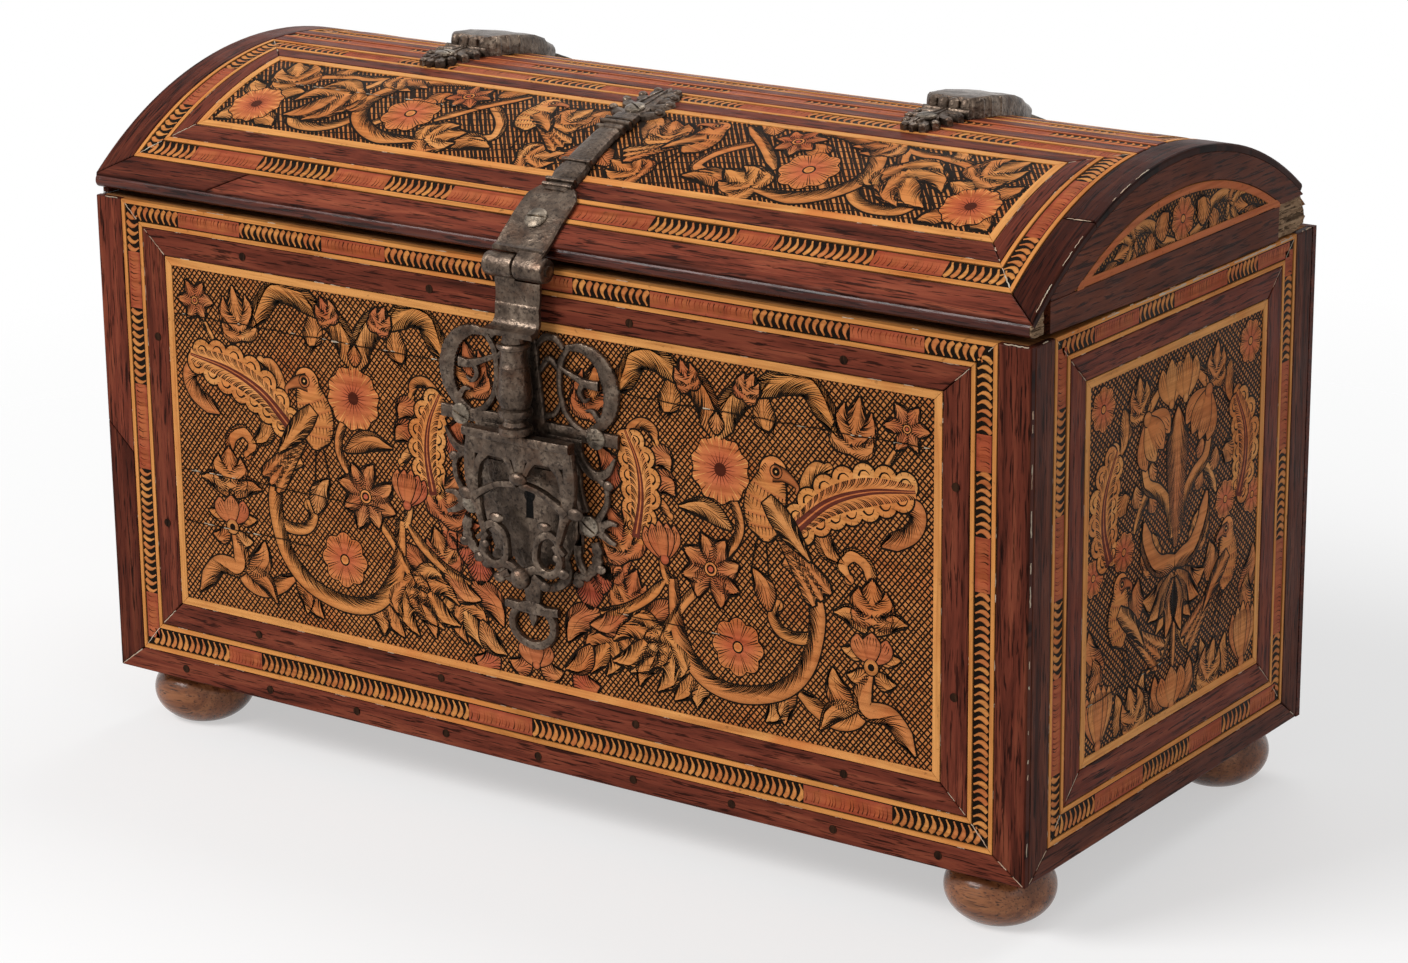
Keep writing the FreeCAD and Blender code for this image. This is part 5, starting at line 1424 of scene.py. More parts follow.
class Forge:
    """Collects closed forms of iron or sawn wood, in millimetres of the frame, into one mesh."""

    def __init__(self):
        self.points = []
        self.faces = []

    def rings(self, loops):
        """Skins a row of equal loops and caps its two ends."""
        base = len(self.points)
        size = len(loops[0])
        for loop in loops:
            self.points += [tuple(p) for p in loop]
        last = base + (len(loops) - 1) * size
        for row in range(base, last, size):
            for i in range(size):
                j = (i + 1) % size
                self.faces.append([row + i, row + j, row + size + j, row + size + i])
        self.faces.append([base + i for i in range(size)][::-1])
        self.faces.append([last + i for i in range(size)])

    def bar(self, place, points, half, low, high, soft=0.7, step=0.8):
        """A flat bar along a line in a face's plane, its upper edges filed round."""
        path = curve(points, step)
        along = run_lengths(path)
        loops = []
        for p, (_, q), s in zip(path, sides(path), along):
            h = max(0.12, at_share(half, s / along[-1]))
            r = min(soft * h, soft * (high - low), 0.95 * h)
            section = ((-h, low), (-h, high - r), (-h + 0.3 * r, high - 0.3 * r), (-h + r, high),
                       (h - r, high), (h - 0.3 * r, high - 0.3 * r), (h, high - r), (h, low))
            loops.append([place(*(p + q * w), n) for w, n in section])
        self.rings(loops)

    def turned(self, origin, axis, profile, count=30):
        """A form turned about an axis from (distance along it, radius) pairs."""
        origin, axis = Vector(origin), Vector(axis).normalized()
        side = axis.orthogonal().normalized()
        other = axis.cross(side)
        spokes = [side * math.cos(a) + other * math.sin(a) for a in turns(count)]
        self.rings([[origin + axis * h + spoke * max(r, 0.02) for spoke in spokes] for h, r in profile])

    def ball(self, centre, radius, stretch=(1.0, 1.0, 1.0), count=14):
        """A filed knob, drawn out by stretch."""
        centre = Vector(centre)
        wide, deep, tall = [s * radius for s in stretch]
        loops = []
        for i in range(9):
            a = math.pi * (0.04 + 0.92 * i / 8)
            out, up = math.sin(a), -tall * math.cos(a)
            loops.append([centre + Vector((wide * out * math.cos(b), deep * out * math.sin(b), up))
                          for b in turns(count)])
        self.rings(loops)

    def screw(self, centre, outward, radius, height, angle):
        """A domed screw head with a cut slot."""
        outward = Vector(outward).normalized()
        side = outward.orthogonal().normalized()
        other = outward.cross(side)
        x_dir = side * math.cos(angle) + other * math.sin(angle)
        y_dir = outward.cross(x_dir)
        centre = Vector(centre)
        self.turned(centre, outward, [(-0.6, radius * 0.9), (0.0, radius), (0.35 * height, radius * 0.99),
                                      (0.42 * height, radius * 0.94)], 24)
        slot = 0.1 * radius
        for sign in (1, -1):
            rows = []
            for i in range(13):
                y = radius * 0.95 * (2 * i / 12 - 1)
                far = math.sqrt(max(0.0, (radius * 0.96) ** 2 - y * y))
                dome, floor = [], []
                for j in range(6):
                    x = slot + max(0.0, far - slot) * j / 5
                    rise = math.sqrt(max(0.0, 1 - (x * x + y * y) / radius ** 2))
                    spot = centre + x_dir * sign * x + y_dir * y
                    dome.append(spot + outward * (0.35 * height + 0.65 * height * rise))
                    floor.append(spot + outward * 0.3 * height)
                rows.append(dome + floor[::-1])
            self.rings(rows)

    def piece(self, name, material, body, node=None, forged=0.12, slot="iron", smooth_angle=38.0):
        """The object, with the slight unevenness of hand work."""
        points = []
        for p in self.points:
            v = Vector(p)
            shift = Vector([noise.noise(v * HAMMER_SCALE + Vector(offset)) for offset in HAMMER_OFFSETS])
            points.append(tuple((v + shift * forged) * MM))
        mesh = bpy.data.meshes.new(name)
        mesh.from_pydata(points, [], self.faces)
        shell = bmesh.new()
        shell.from_mesh(mesh)
        bmesh.ops.recalc_face_normals(shell, faces=shell.faces)
        shell.to_mesh(mesh)
        shell.free()
        mesh.polygons.foreach_set("use_smooth", [True] * len(mesh.polygons))
        mesh.set_sharp_from_angle(angle=math.radians(smooth_angle))
        add_piece(mesh, material, body, node)


def lock_face(x, v, n):
    return on_front(HALF_W + x, v, n)


def grow(*stops):
    """A width that passes evenly through the given values."""
    def width(t):
        place = t * (len(stops) - 1)
        k = min(int(place), len(stops) - 2)
        return stops[k] + (stops[k + 1] - stops[k]) * (place - k)
    return width


def notched(width, count, depth):
    """A width with filed notches along its rim."""
    return lambda t: width(t) * (1 + depth * (1 if int(2 * count * t) % 2 else -1))


def bars_on(forge, usual_low, usual_high):
    """A maker of bars on the lock's face, mirrored about its middle where sign is -1."""
    def add(points, half, sign=1, low=usual_low, high=usual_high):
        forge.bar(lock_face, [(sign * x, v) for x, v in points], half, low, high)
    return add


# The lock plate: a pierced plate of scrolls on the front
PLATE_LOW, PLATE_TOP = 0.0, 1.6
plate = Forge()
plate_bar = bars_on(plate, PLATE_LOW, PLATE_TOP)
plate_bar([(-43.2, 143.0), (-30.0, 143.1), (0.0, 143.2), (30.0, 143.1), (43.2, 143.0)], 2.9)
plate_bar([(0.0, 141.0), (0.0, 160.0), (0.0, 178.5)], grow(9.0, 6.5, 4.5))
plate_bar([(-26.0, 139.2), (0.0, 139.2), (26.0, 139.2)], 3.2)
plate_bar([(0.0, 126.4), (0.0, 112.0), (0.0, 100.0), (0.0, 88.0)], grow(24.5, 24.0, 23.0, 17.0))
for sign in (1, -1):
    plate_bar([(2.5, 131.2), (14.0, 131.2), (25.0, 131.2)], 5.0, sign)
for sign in (1, -1):
    # upper scroll: thick outer crescent, thin inner bar, the web between its two eyes
    plate_bar([(19.0, 177.2), (27.0, 177.8), (35.0, 173.5), (39.6, 164.5), (39.2, 155.0), (35.0, 148.5),
               (29.0, 145.0)], notched(grow(1.3, 2.3, 3.4, 4.0, 3.7, 2.7, 1.5), 26, 0.05), sign)
    plate_bar([(20.0, 177.4), (16.2, 171.0), (15.2, 162.0), (17.0, 153.0), (21.0, 147.5), (26.0, 144.5)],
              grow(1.2, 1.5, 1.3, 1.2, 1.3, 1.6), sign)
    plate_bar([(34.0, 164.0), (28.5, 164.0), (22.5, 166.0), (16.0, 168.8)], grow(2.2, 1.8, 1.3, 1.0), sign)
    plate_bar([(27.0, 164.6), (25.0, 160.5), (27.2, 157.2), (30.2, 158.6)], grow(1.4, 1.3, 1.0, 0.5), sign)
    plate_bar([(34.0, 150.0), (31.4, 153.4), (28.2, 153.6)], grow(1.6, 1.2, 0.4), sign)
    # small arches between the scroll and the upright
    plate_bar([(5.0, 176.5), (9.0, 180.0), (13.5, 180.0), (17.5, 176.5)], grow(1.0, 1.6, 1.6, 1.0), sign)
    plate_bar([(6.0, 166.0), (10.5, 171.5), (15.2, 168.0)], grow(1.0, 1.5, 1.0), sign)
    plate_bar([(8.0, 148.0), (13.0, 150.0), (16.4, 156.0)], grow(1.4, 1.2, 0.8), sign)
    # side leaves and eyes
    plate_bar([(23.0, 139.0), (25.0, 133.0), (31.0, 128.0), (37.0, 129.5), (41.6, 136.4)],
              grow(2.0, 2.2, 2.2, 1.8, 0.5), sign)
    plate_bar([(31.0, 128.0), (36.6, 124.0), (37.0, 117.0), (33.0, 110.0)], grow(1.6, 1.3, 1.3, 1.7), sign)
    plate_bar([(22.0, 130.0), (23.5, 120.0), (26.0, 112.0)], grow(2.6, 2.2, 2.6), sign)
    plate_bar([(24.0, 106.8), (31.0, 107.0), (36.0, 106.0)], grow(4.2, 4.0, 2.6), sign)
    plate_bar([(34.0, 107.4), (38.0, 109.6), (42.0, 109.4)], grow(2.0, 1.5, 0.7), sign)
    plate_bar([(34.0, 104.8), (38.0, 102.4), (41.4, 101.4)], grow(2.0, 1.5, 0.8), sign)
    plate_bar([(31.0, 100.5), (32.2, 96.0), (31.0, 91.0), (27.0, 86.5), (21.0, 84.5)],
              notched(grow(2.4, 2.4, 2.2, 2.2, 1.8), 5, 0.12), sign)
    plate_bar([(22.5, 98.0), (23.0, 92.0), (26.0, 87.0)], grow(2.2, 1.8, 1.6), sign)
    plate_bar([(16.0, 90.0), (17.5, 84.0), (12.0, 79.0), (5.0, 77.5)], grow(2.6, 2.2, 2.0, 1.8), sign)
    for x, v, r in ((37.6, 124.6, 2.3), (33.4, 90.0, 2.2), (22.6, 82.6, 2.3)):
        plate.ball(lock_face(sign * x, v, 0.9), r, (1.15, 0.55, 0.9))
# tail: stem, cross bar and hanging ring
plate_bar([(0.0, 96.0), (0.0, 80.0), (0.0, 66.0)], grow(13.0, 5.0, 3.0))
plate_bar([(-13.0, 68.2), (0.0, 67.4), (13.0, 68.2)], grow(2.0, 2.2, 2.0), high=2.4)
TAIL_V, TAIL_WIDE, TAIL_TALL = 61.0, 10.2, 8.4
tail_ring = [(TAIL_WIDE * math.sin(a), TAIL_V + TAIL_TALL * math.cos(a)) for a in turns(16) + [2 * math.pi]]
plate_bar(tail_ring, 1.9, high=2.2)
plate_bar([(0.0, 66.0), (0.0, 63.0), (0.0, 60.5)], grow(2.2, 2.0, 0.4))
plate.piece("lock_plate_scrolls", IRON, "case", "lock_plate")

SCREW_R, SCREW_H = 4.3, 1.5
screws = Forge()
for x, v, angle in ((-33.0, 143.0, 0.4), (33.0, 143.0, 0.9), (-29.0, 107.0, 1.2), (29.0, 107.0, 0.2)):
    screws.screw(lock_face(x, v, PLATE_TOP - 0.1), (0.0, -1.0, 0.0), SCREW_R, SCREW_H, angle)
screws.piece("lock_plate_screw_heads", IRON_BRIGHT, "case", "lock_plate_screws", forged=0.05)

# the keyhole: a near-black sheet of painted shade that stands for the dark opening, with a round head and a
# flared foot
KEY_V, KEY_R = 111.0, 2.6
keyhole = Forge()
outline = [(-1.9, KEY_V - 5.6), (-1.6, KEY_V + 1.4)]
for a in [math.radians(degrees) for degrees in range(-140, 141, 20)]:
    outline.append((KEY_R * math.sin(a), KEY_V + 3.6 + KEY_R * math.cos(a)))
outline += [(1.6, KEY_V + 1.4), (1.9, KEY_V - 5.6)]
keyhole.rings([[lock_face(x, v, PLATE_TOP + n) for x, v in outline] for n in (-0.4, 0.06)])
keyhole.piece("lock_keyhole_shadow", KEYHOLE_SHADE, "case", forged=0.0)

# The hasp: shield, baluster, plate and knuckle
SHIELD_LOW, SHIELD_TOP = 6.4, 8.8
EYE_X, EYE_V, EYE_WIDE, EYE_TALL = 13.0, 92.5, 6.0, 6.6
SHIELD_KNOBS = ((26.4, 113.0, 7.7, 2.9, (1.45, 0.55, 0.9)), (11.8, 105.4, 8.0, 2.4, (1.5, 0.6, 0.85)),
                (17.6, 93.6, 7.9, 1.8, (1.1, 0.8, 1.0)), (20.6, 87.6, 7.8, 2.4, (1.2, 0.6, 0.9)),
                (11.2, 80.8, 7.7, 2.3, (1.2, 0.6, 0.9)))
shield = Forge()
shield_bar = bars_on(shield, SHIELD_LOW, SHIELD_TOP)
shield_bar([(-26.0, 139.5), (0.0, 139.3), (26.0, 139.5)], 2.1, high=11.0)
shield_bar([(-25.5, 134.4), (0.0, 134.2), (25.5, 134.4)], 4.4)
shield_bar([(0.0, 134.0), (0.0, 128.0), (0.0, 122.0)], grow(5.0, 3.2, 1.8))
for sign in (1, -1):
    shield_bar([(23.6, 137.0), (24.2, 127.0), (23.2, 117.0), (21.6, 110.0)], grow(2.6, 3.2, 3.6, 2.6), sign)
    shield_bar([(16.0, 132.0), (20.0, 127.0), (21.5, 120.0)], grow(2.4, 1.8, 1.4), sign)
    shield_bar([(8.5, 133.0), (5.0, 129.0), (3.0, 125.0)], grow(2.2, 1.6, 1.2), sign)
    shield_bar([(1.0, 121.0), (10.0, 119.5), (19.0, 115.0), (23.0, 112.0)], grow(1.5, 1.3, 1.5, 2.0),
               sign, 6.8, 9.6)
    shield_bar([(22.0, 112.0), (19.6, 104.0), (18.2, 98.5), (21.5, 95.5)], grow(2.4, 1.8, 1.6, 1.0), sign)
    eye_turns = [math.radians(degrees) for degrees in (150, 190, 230, 270, 310, 350, 30, 60)]
    eye = [(EYE_X + EYE_WIDE * math.cos(a), EYE_V + EYE_TALL * math.sin(a)) for a in eye_turns]
    shield_bar(eye, grow(1.0, 1.5, 1.9, 2.0, 1.9, 1.8, 1.5, 0.9), sign)
    shield_bar([(18.6, 100.0), (14.0, 102.5), (8.6, 99.5), (7.0, 93.0)], grow(1.6, 1.8, 1.6, 1.4), sign)
    shield_bar([(12.0, 86.4), (6.0, 86.8), (0.0, 83.0)], grow(1.8, 2.0, 2.6), sign)
    for x, v, n, radius, stretch in SHIELD_KNOBS:
        shield.ball(lock_face(sign * x, v, n), radius, stretch)
    shield_bar([(6.0, 84.0), (11.0, 81.4)], grow(1.8, 1.2), sign)
    shield_bar([(17.0, 90.0), (20.4, 88.0)], grow(1.8, 1.2), sign)
shield.ball(lock_face(0.0, 123.2, 8.8), 3.2, (1.35, 0.7, 0.85))
shield.ball(lock_face(0.0, 82.5, 8.4), 4.6, (1.0, 0.8, 1.0), 20)
shield.piece("hasp_shield_scrolls", IRON, "hasp", "hasp_shield")

# the baluster's profile: heights and radii of its rings, hollows and long taper
BALUSTER = ((166.2, 5.6), (166.6, 6.6), (168.0, 6.95), (169.4, 6.6), (170.0, 5.2), (171.6, 4.6),
            (173.2, 5.2), (173.8, 6.6), (175.0, 6.95), (176.4, 6.8), (177.0, 5.7), (178.2, 6.2),
            (181.0, 6.85), (184.0, 6.9), (188.5, 6.4), (192.6, 6.0), (192.9, 6.2), (193.6, 6.2),
            (194.0, 5.8), (199.0, 5.3), (200.4, 5.4), (200.9, 6.5), (202.0, 6.9), (202.9, 6.4),
            (203.3, 4.9), (205.0, 4.5), (206.4, 4.6))
BALUSTER_N = 9.3
baluster = Forge()
baluster.turned((0.0, FRONT_Y - BALUSTER_N, 0.0), (0.0, 0.0, 1.0), BALUSTER, 36)
baluster.piece("hasp_baluster_turned", IRON, "hasp", "hasp_baluster", forged=0.1)

HINGE_N, HINGE_Z = 5.8, 232.2
SHEET_THICK = 2.0
KNUCKLE = ((0.0, 3.9), (0.5, 4.7), (1.6, 4.98), (7.0, 4.9), (12.6, 4.98), (13.8, 4.75), (14.3, 4.0))


def bent_sheet(forge, line, half, thick, middle=0.0):
    """A sheet bent along a line of (n, z) points, with its half width along that line."""
    path = curve(line, 0.7)
    along = run_lengths(path)
    r, top = 0.35 * thick, 0.5 * thick
    loops = []
    for p, (_, q), s in zip(path, sides(path), along):
        h = at_share(half, s / along[-1])
        section = ((-h, -top), (-h, top - r), (-h + r, top), (h - r, top), (h, top - r), (h, -top))
        loops.append([(middle + x, FRONT_Y - (p + q * t).x, (p + q * t).y) for x, t in section])
    forge.rings(loops)


hasp_plate = Forge()
hasp_plate.turned((-14.4, FRONT_Y - HINGE_N, HINGE_Z), (1.0, 0.0, 0.0), KNUCKLE, 28)
hasp_line = ((5.8, 226.6), (5.9, 221.0), (6.2, 217.4), (6.6, 216.6), (6.7, 212.0), (8.0, 209.0),
             (11.0, 207.6), (14.4, 207.4))
bent_sheet(hasp_plate, hasp_line, grow(10.8, 10.7, 10.6, 10.6, 10.7, 11.2, 12.2, 12.6), SHEET_THICK)
hasp_plate.bar(lock_face, [(-5.5, 200.0), (-5.5, 207.0)], 5.2, 3.6, 7.4, soft=0.4)
hasp_plate.piece("hasp_plate_bent", IRON, "hasp", "hasp_plate")


# Lid: hasp strap and hinge terminals
LEAF_LOBES = ((4.0, 12.6, 9.0), (11.0, 11.8, 17.0), (18.0, 8.6, 24.0), (23.0, 5.2, 30.0))


def leaf_terminal(forge, u, s0, toward, size, base=1.6):
    """A forged leaf of curled lobes that lies on the lid and points along s."""
    def lobe(points, half, high):
        line = [(u + x * size, s0 + toward * s * size) for x, s in points]
        forge.bar(on_lid, line, half, -0.6, high, soft=0.9)

    stem = grow(4.6 * size, 6.0 * size, 4.6 * size, 0.8)
    lobe([(0.0, -3.0), (0.0, 8.0), (0.0, 20.0), (0.0, 31.0)], stem, base + 0.5)
    for sign in (1, -1):
        for k, (start, out, end) in enumerate(LEAF_LOBES):
            curl = [(sign * 1.5, start), (sign * 0.6 * out, start + 1.5), (sign * out, end)]
            lobe(curl, grow(2.4 * size, 2.9 * size, 1.2), base + 0.3 * (k % 2))
            tip = on_lid(u + sign * 0.86 * out * size, s0 + toward * (end - 1.6) * size, base - 0.5)
            forge.ball(tip, 1.9 * size, (1.0, 1.0, 0.75))
        lobe([(sign * 0.8, 2.0), (sign * 1.8, 14.0), (sign * 0.9, 27.0)], grow(0.5, 0.7, 0.4), base + 1.1)


def lid_normal(s):
    phi = ARCH_HALF - s / ARCH_R
    return (0.0, -math.sin(phi), math.cos(phi))


strap = Forge()
strap.turned((0.3, FRONT_Y - HINGE_N, HINGE_Z), (1.0, 0.0, 0.0), KNUCKLE, 28)
# the plate runs down the slope of the lid and over its edge; its right half rolls on into the knuckle
slope_line = [(FRONT_Y - y, z) for _, y, z in [on_lid(HALF_W, s, 1.1) for s in (27.0, 24.0, 18.0, 10.0, 3.0)]]
over_edge = slope_line + [(0.9, 241.2), (3.0, 239.5), (4.6, 238.9), (5.7, 238.7)]
into_knuckle = slope_line[4:] + [(0.9, 241.2), (4.6, 238.3), (8.4, 235.2), (9.7, 233.2), (9.8, 231.4)]
bent_sheet(strap, over_edge, grow(8.6, 12.0, 12.4, 12.4, 12.4, 12.4, 12.4, 12.3), SHEET_THICK)
bent_sheet(strap, into_knuckle, 6.05, SHEET_THICK, 6.4)
# the bar above the plate, its swelling and its filed rings: place along s, half length and height
STRAP_RINGS = ((27.6, 7.0, 3.4), (30.2, 6.8, 3.8), (42.0, 6.8, 3.6), (66.0, 6.4, 3.2), (69.6, 7.0, 3.6),
               (72.6, 6.8, 3.2))
strap_line = [(HALF_W, s) for s in (25.0, 40.0, 70.0, 78.0)]
strap.bar(on_lid, strap_line, grow(6.2, 6.4, 5.6, 5.8), 0.0, 2.6, soft=0.8)
strap.bar(on_lid, [(HALF_W, s) for s in (31.0, 36.0, 40.5)], grow(6.4, 7.2, 6.4), 0.0, 3.2, soft=0.9)
for s, w, h in STRAP_RINGS:
    strap.bar(on_lid, [(HALF_W - w, s), (HALF_W, s), (HALF_W + w, s)], 0.9, 0.0, h, soft=0.95)
leaf_terminal(strap, HALF_W, 76.0, 1, 1.02)
strap.piece("hasp_strap_forged", IRON, "lid", "hasp_strap")

lid_screws = Forge()
for s, r, angle in ((10.4, 4.8, 0.7), (83.0, 4.2, 0.2)):
    lid_screws.screw(on_lid(HALF_W, s, 2.0), lid_normal(s), r, 1.7, angle)
HINGE_X = 118.0
HUMP_START, HUMP_END, REAR_NAIL = LID_MID + 6.1, LID_MID + 59.1, LID_MID + 72.2
# the hump's run, half width and height at places along it, and the flutes around its foot
HUMP = ((0.0, 9.4, 6.8), (0.9, 10.6, 7.9), (3.0, 12.0, 8.25), (14.0, 12.7, 8.2), (30.0, 12.5, 8.1),
        (38.0, 11.4, 7.2), (40.0, 11.0, 6.2), (47.0, 9.6, 5.4), (50.5, 7.4, 3.6), (53.0, 5.4, 2.2))
FLUTES = ((-7.2, 0.6, 2.5), (-2.3, -0.2, 2.6), (2.6, -0.2, 2.6), (7.4, 0.6, 2.5), (11.2, 4.6, 2.2),
          (11.7, 10.5, 2.4), (11.9, 18.0, 2.3), (-11.2, 4.6, 2.2), (-11.7, 10.5, 2.4), (-11.9, 18.0, 2.3))
HINGE_AXIS_Y, HINGE_AXIS_Z = BACK_Y + 4.4, 231.9
HINGE_KNUCKLE = ((0.0, 3.2), (0.4, 3.7), (1.2, 3.88), (3.7, 3.82), (6.2, 3.88), (7.0, 3.7), (7.4, 3.2))


def on_rear(x, z, n):
    return (x, BACK_Y + n, z)


def hinge_strap(side, u, turn):
    """A rear hinge strap: leaf terminal, hump, tapering strap, drop and middle knuckle."""
    x = u - HALF_W
    forge = Forge()
    leaf_terminal(forge, u, LID_MID + 5.0, -1, 0.86, base=2.6)
    for k, (s, w) in enumerate(((LID_MID + 1.0, 9.0), (LID_MID + 4.4, 10.6))):
        forge.bar(on_lid, [(u - w, s), (u, s), (u + w, s)], 1.3, 0.0, 3.2 + 0.7 * k, soft=0.95)
    loops = []
    for run, w, h in HUMP:
        section = ((-w, 0.0), (-w, 0.55 * h), (-w + 0.5, h - 1.4), (-w + 1.8, h - 0.2), (-0.4 * w, h),
                   (0.0, h - 0.25), (0.4 * w, h), (w - 1.8, h - 0.2), (w - 0.5, h - 1.4), (w, 0.55 * h),
                   (w, 0.0))
        loops.append([on_lid(u + across, HUMP_START + run, n) for across, n in section])
    forge.rings(loops)
    for across, run, r in FLUTES:
        s = HUMP_START + run
        side_r = min(r, 13.0 - abs(across))
        flute = ((0.0, side_r), (4.6, side_r), (6.6, 0.85 * side_r), (7.6, 0.4 * side_r))
        forge.turned(on_lid(u + across, s, 0.0), lid_normal(s), flute, 14)
    strap_run = [(u, s) for s in (HUMP_END - 6.0, REAR_NAIL, ARC - 20.0, ARC - 0.4)]
    forge.bar(on_lid, strap_run, grow(8.0, 9.5, 10.6, 11.8), 0.0, 2.1, soft=0.4)
    forge.bar(on_rear, [(x, 242.2), (x, 239.4), (x, 236.9)], 11.7, 0.0, 2.05, soft=0.4)
    forge.bar(on_rear, [(x, 239.0), (x, 235.4), (x, 231.9)], 3.7, 0.0, 2.05, soft=0.3)
    forge.turned((x - 3.7, HINGE_AXIS_Y, HINGE_AXIS_Z), (1.0, 0.0, 0.0), HINGE_KNUCKLE, 24)
    forge.piece(side + "_hinge_strap_forged", IRON, "lid", side + "_hinge_strap", forged=0.1)
    for s, n, r in ((LID_MID - 10.0, 2.9, 4.2), (REAR_NAIL, 2.0, 4.3)):
        lid_screws.screw(on_lid(u, s, n), lid_normal(s), r, 1.5, turn)


hinge_strap("left", HALF_W - HINGE_X, 0.5)
hinge_strap("right", HALF_W + HINGE_X, 1.3)
lid_screws.piece("lid_screw_heads", IRON_BRIGHT, "lid", "lid_hardware_nails", forged=0.04)

LEAF_NAIL_R, LEAF_NAIL_N, LEAF_NAIL_HEIGHTS = 4.4, 1.9, (177.9, 210.3)
leaf_nails = Forge()
for x in (-HINGE_X, HINGE_X):
    for z in LEAF_NAIL_HEIGHTS:
        leaf_nails.ball((x, BACK_Y + LEAF_NAIL_N, z), LEAF_NAIL_R, (1.0, 0.36, 1.0), 18)
leaf_nails.piece("hinge_leaf_nail_heads", IRON_BRIGHT, "case", "hinge_leaf_nails", forged=0.05)

# Lid: bullnose, end facings and lunettes
RAIL_LOW, RAIL_HIGH = box_side("lid_front_rail", 0, 2), box_side("lid_front_rail", 1, 2)
RAIL_RUN, RAIL_DEPTH, RAIL_SHORT, NOSE_R = 443.0, 12.0, 9.0, 3.0
RAIL_MID, RAIL_HALF = (RAIL_LOW + RAIL_HIGH) / 2, (RAIL_HIGH - RAIL_LOW) / 2
LUNETTE_RIM = 14.0
FACE_R, LUNETTE_R = ARCH_R - FACING, ARCH_R - LUNETTE_RIM
LUNETTE_BASE = box_side("lid_lunettes", 0, 2) - UNDERSIDE
FACING_BASE = box_side("lid_end_facings", 0, 2) - UNDERSIDE
ARCH_V = ARCH_Z - UNDERSIDE
MIDDLE_U = DEPTH / 2
CHORD = math.sqrt(LUNETTE_R ** 2 - (LUNETTE_BASE - ARCH_V) ** 2)


def rail_section(x, depth):
    """The bullnose across the front edge at one place along it."""
    wear = 0.18 * noise.noise(Vector((x * 0.03, 3.0, 0.0)))
    outline = [(depth, RAIL_LOW), (NOSE_R, RAIL_LOW)]
    for k in range(1, 10):
        a = math.radians(-90 + 18 * k)
        outline.append((NOSE_R - (NOSE_R - wear - 0.2) * math.cos(a), RAIL_MID + RAIL_HALF * math.sin(a)))
    outline += [(NOSE_R, RAIL_HIGH), (depth, RAIL_HIGH)]
    return [(x, FRONT_Y + d, z) for d, z in outline]


nose = Forge()
nose.rings([rail_section(-HALF_W + 0.15 + RAIL_RUN * i / 60, RAIL_DEPTH) for i in range(61)]
           + [rail_section(HALF_W - x, RAIL_SHORT) for x in (6.8, 4.0, 1.35)])
nose.piece("lid_front_bullnose", POLISHED_ROSE, "lid", "lid_front_rail", forged=0.0, slot="rosewood",
           smooth_angle=50.0)


def arch_v(radius, u):
    """The height of the end arch over one place along the end."""
    return ARCH_V + math.sqrt(max(0.0, radius ** 2 - (u - MIDDLE_U) ** 2))


def arc_point(radius, angle):
    """A point of the end arch, its angle counted from the crown towards larger u."""
    return (MIDDLE_U + radius * math.sin(angle), ARCH_V + radius * math.cos(angle))


def facing_slab(place, u0, u1, low, high, count=64):
    """A sawn facing between two heights that change along the end."""
    loops = []
    for u in spread(u0, u1, count):
        v0 = low(u)
        v1 = max(v0 + 0.7, high(u))
        section = ((v0, -FACING), (v0, -0.3), (v0 + 0.22, -0.06), (v1 - 0.22, -0.06), (v1, -0.3),
                   (v1, -FACING))
        loops.append([place(u, v, n) for v, n in section])
    facings.rings(loops)


# the right facing stops short of the front rail and of the broken rear corner, and its bar rises in front
FRONT_STOP, BAR_STOP, ARCH_TIP = 12.9, 189.0, 209.0
LIFTED, LIFT_RUN = 2.0, 75.0
TIP_RISE = (arch_v(FACE_R, ARCH_TIP) - 0.8 - LUNETTE_BASE) / (ARCH_TIP - MIDDLE_U - CHORD)


def over_lunette(u):
    return max(LUNETTE_BASE, arch_v(LUNETTE_R, u)) + 0.06


def right_arch_low(u):
    return over_lunette(u) + TIP_RISE * max(0.0, u - MIDDLE_U - CHORD)


def right_bar_low(u):
    return FACING_BASE + LIFTED * max(0.0, 1 - (u - FRONT_STOP) / LIFT_RUN)


def under_arch(u):
    return arch_v(FACE_R, u) - 0.1


def bar_high(u):
    return min(LUNETTE_BASE - 0.06, under_arch(u))


RIM_U, ARCH_U = 4.7, 11.4
facings = Forge()
facing_slab(on_right, FRONT_STOP, ARCH_TIP, right_arch_low, under_arch)
facing_slab(on_right, FRONT_STOP, BAR_STOP, right_bar_low, bar_high)
facing_slab(on_left, ARCH_U, DEPTH - ARCH_U, over_lunette, under_arch)
facing_slab(on_left, RIM_U, DEPTH - RIM_U, lambda u: FACING_BASE, bar_high)
facings.piece("lid_end_arch_facings", PLAIN_ROSE_Y, "lid", "lid_end_facings", forged=0.0, slot="rosewood")

# the rear rail, whose right end is broken so that raw wood shows
REAR_LOW, REAR_HIGH, REAR_DEPTH, RAW_START = 232.0, 240.4, 12.0, 216.0
rear = Forge()
rear_section = ((-REAR_DEPTH, REAR_LOW), (-0.5, REAR_LOW), (-0.05, REAR_LOW + 0.6), (-0.05, REAR_HIGH - 0.6),
                (-0.5, REAR_HIGH), (-REAR_DEPTH, REAR_HIGH))
rear.rings([[on_rear(x, z, n) for n, z in rear_section] for x in spread(-HALF_W + 0.1, RAW_START, 40)])
rear.piece("lid_rear_rail", PLAIN_ROSE, "lid", "lid_back_rail", forged=0.0, slot="rosewood")


def stepped(table, u):
    """A height read from a table of places and heights."""
    for (ua, za), (ub, zb) in zip(table, table[1:]):
        if u <= ub:
            return za + (zb - za) * max(0.0, u - ua) / (ub - ua)
    return table[-1][1]


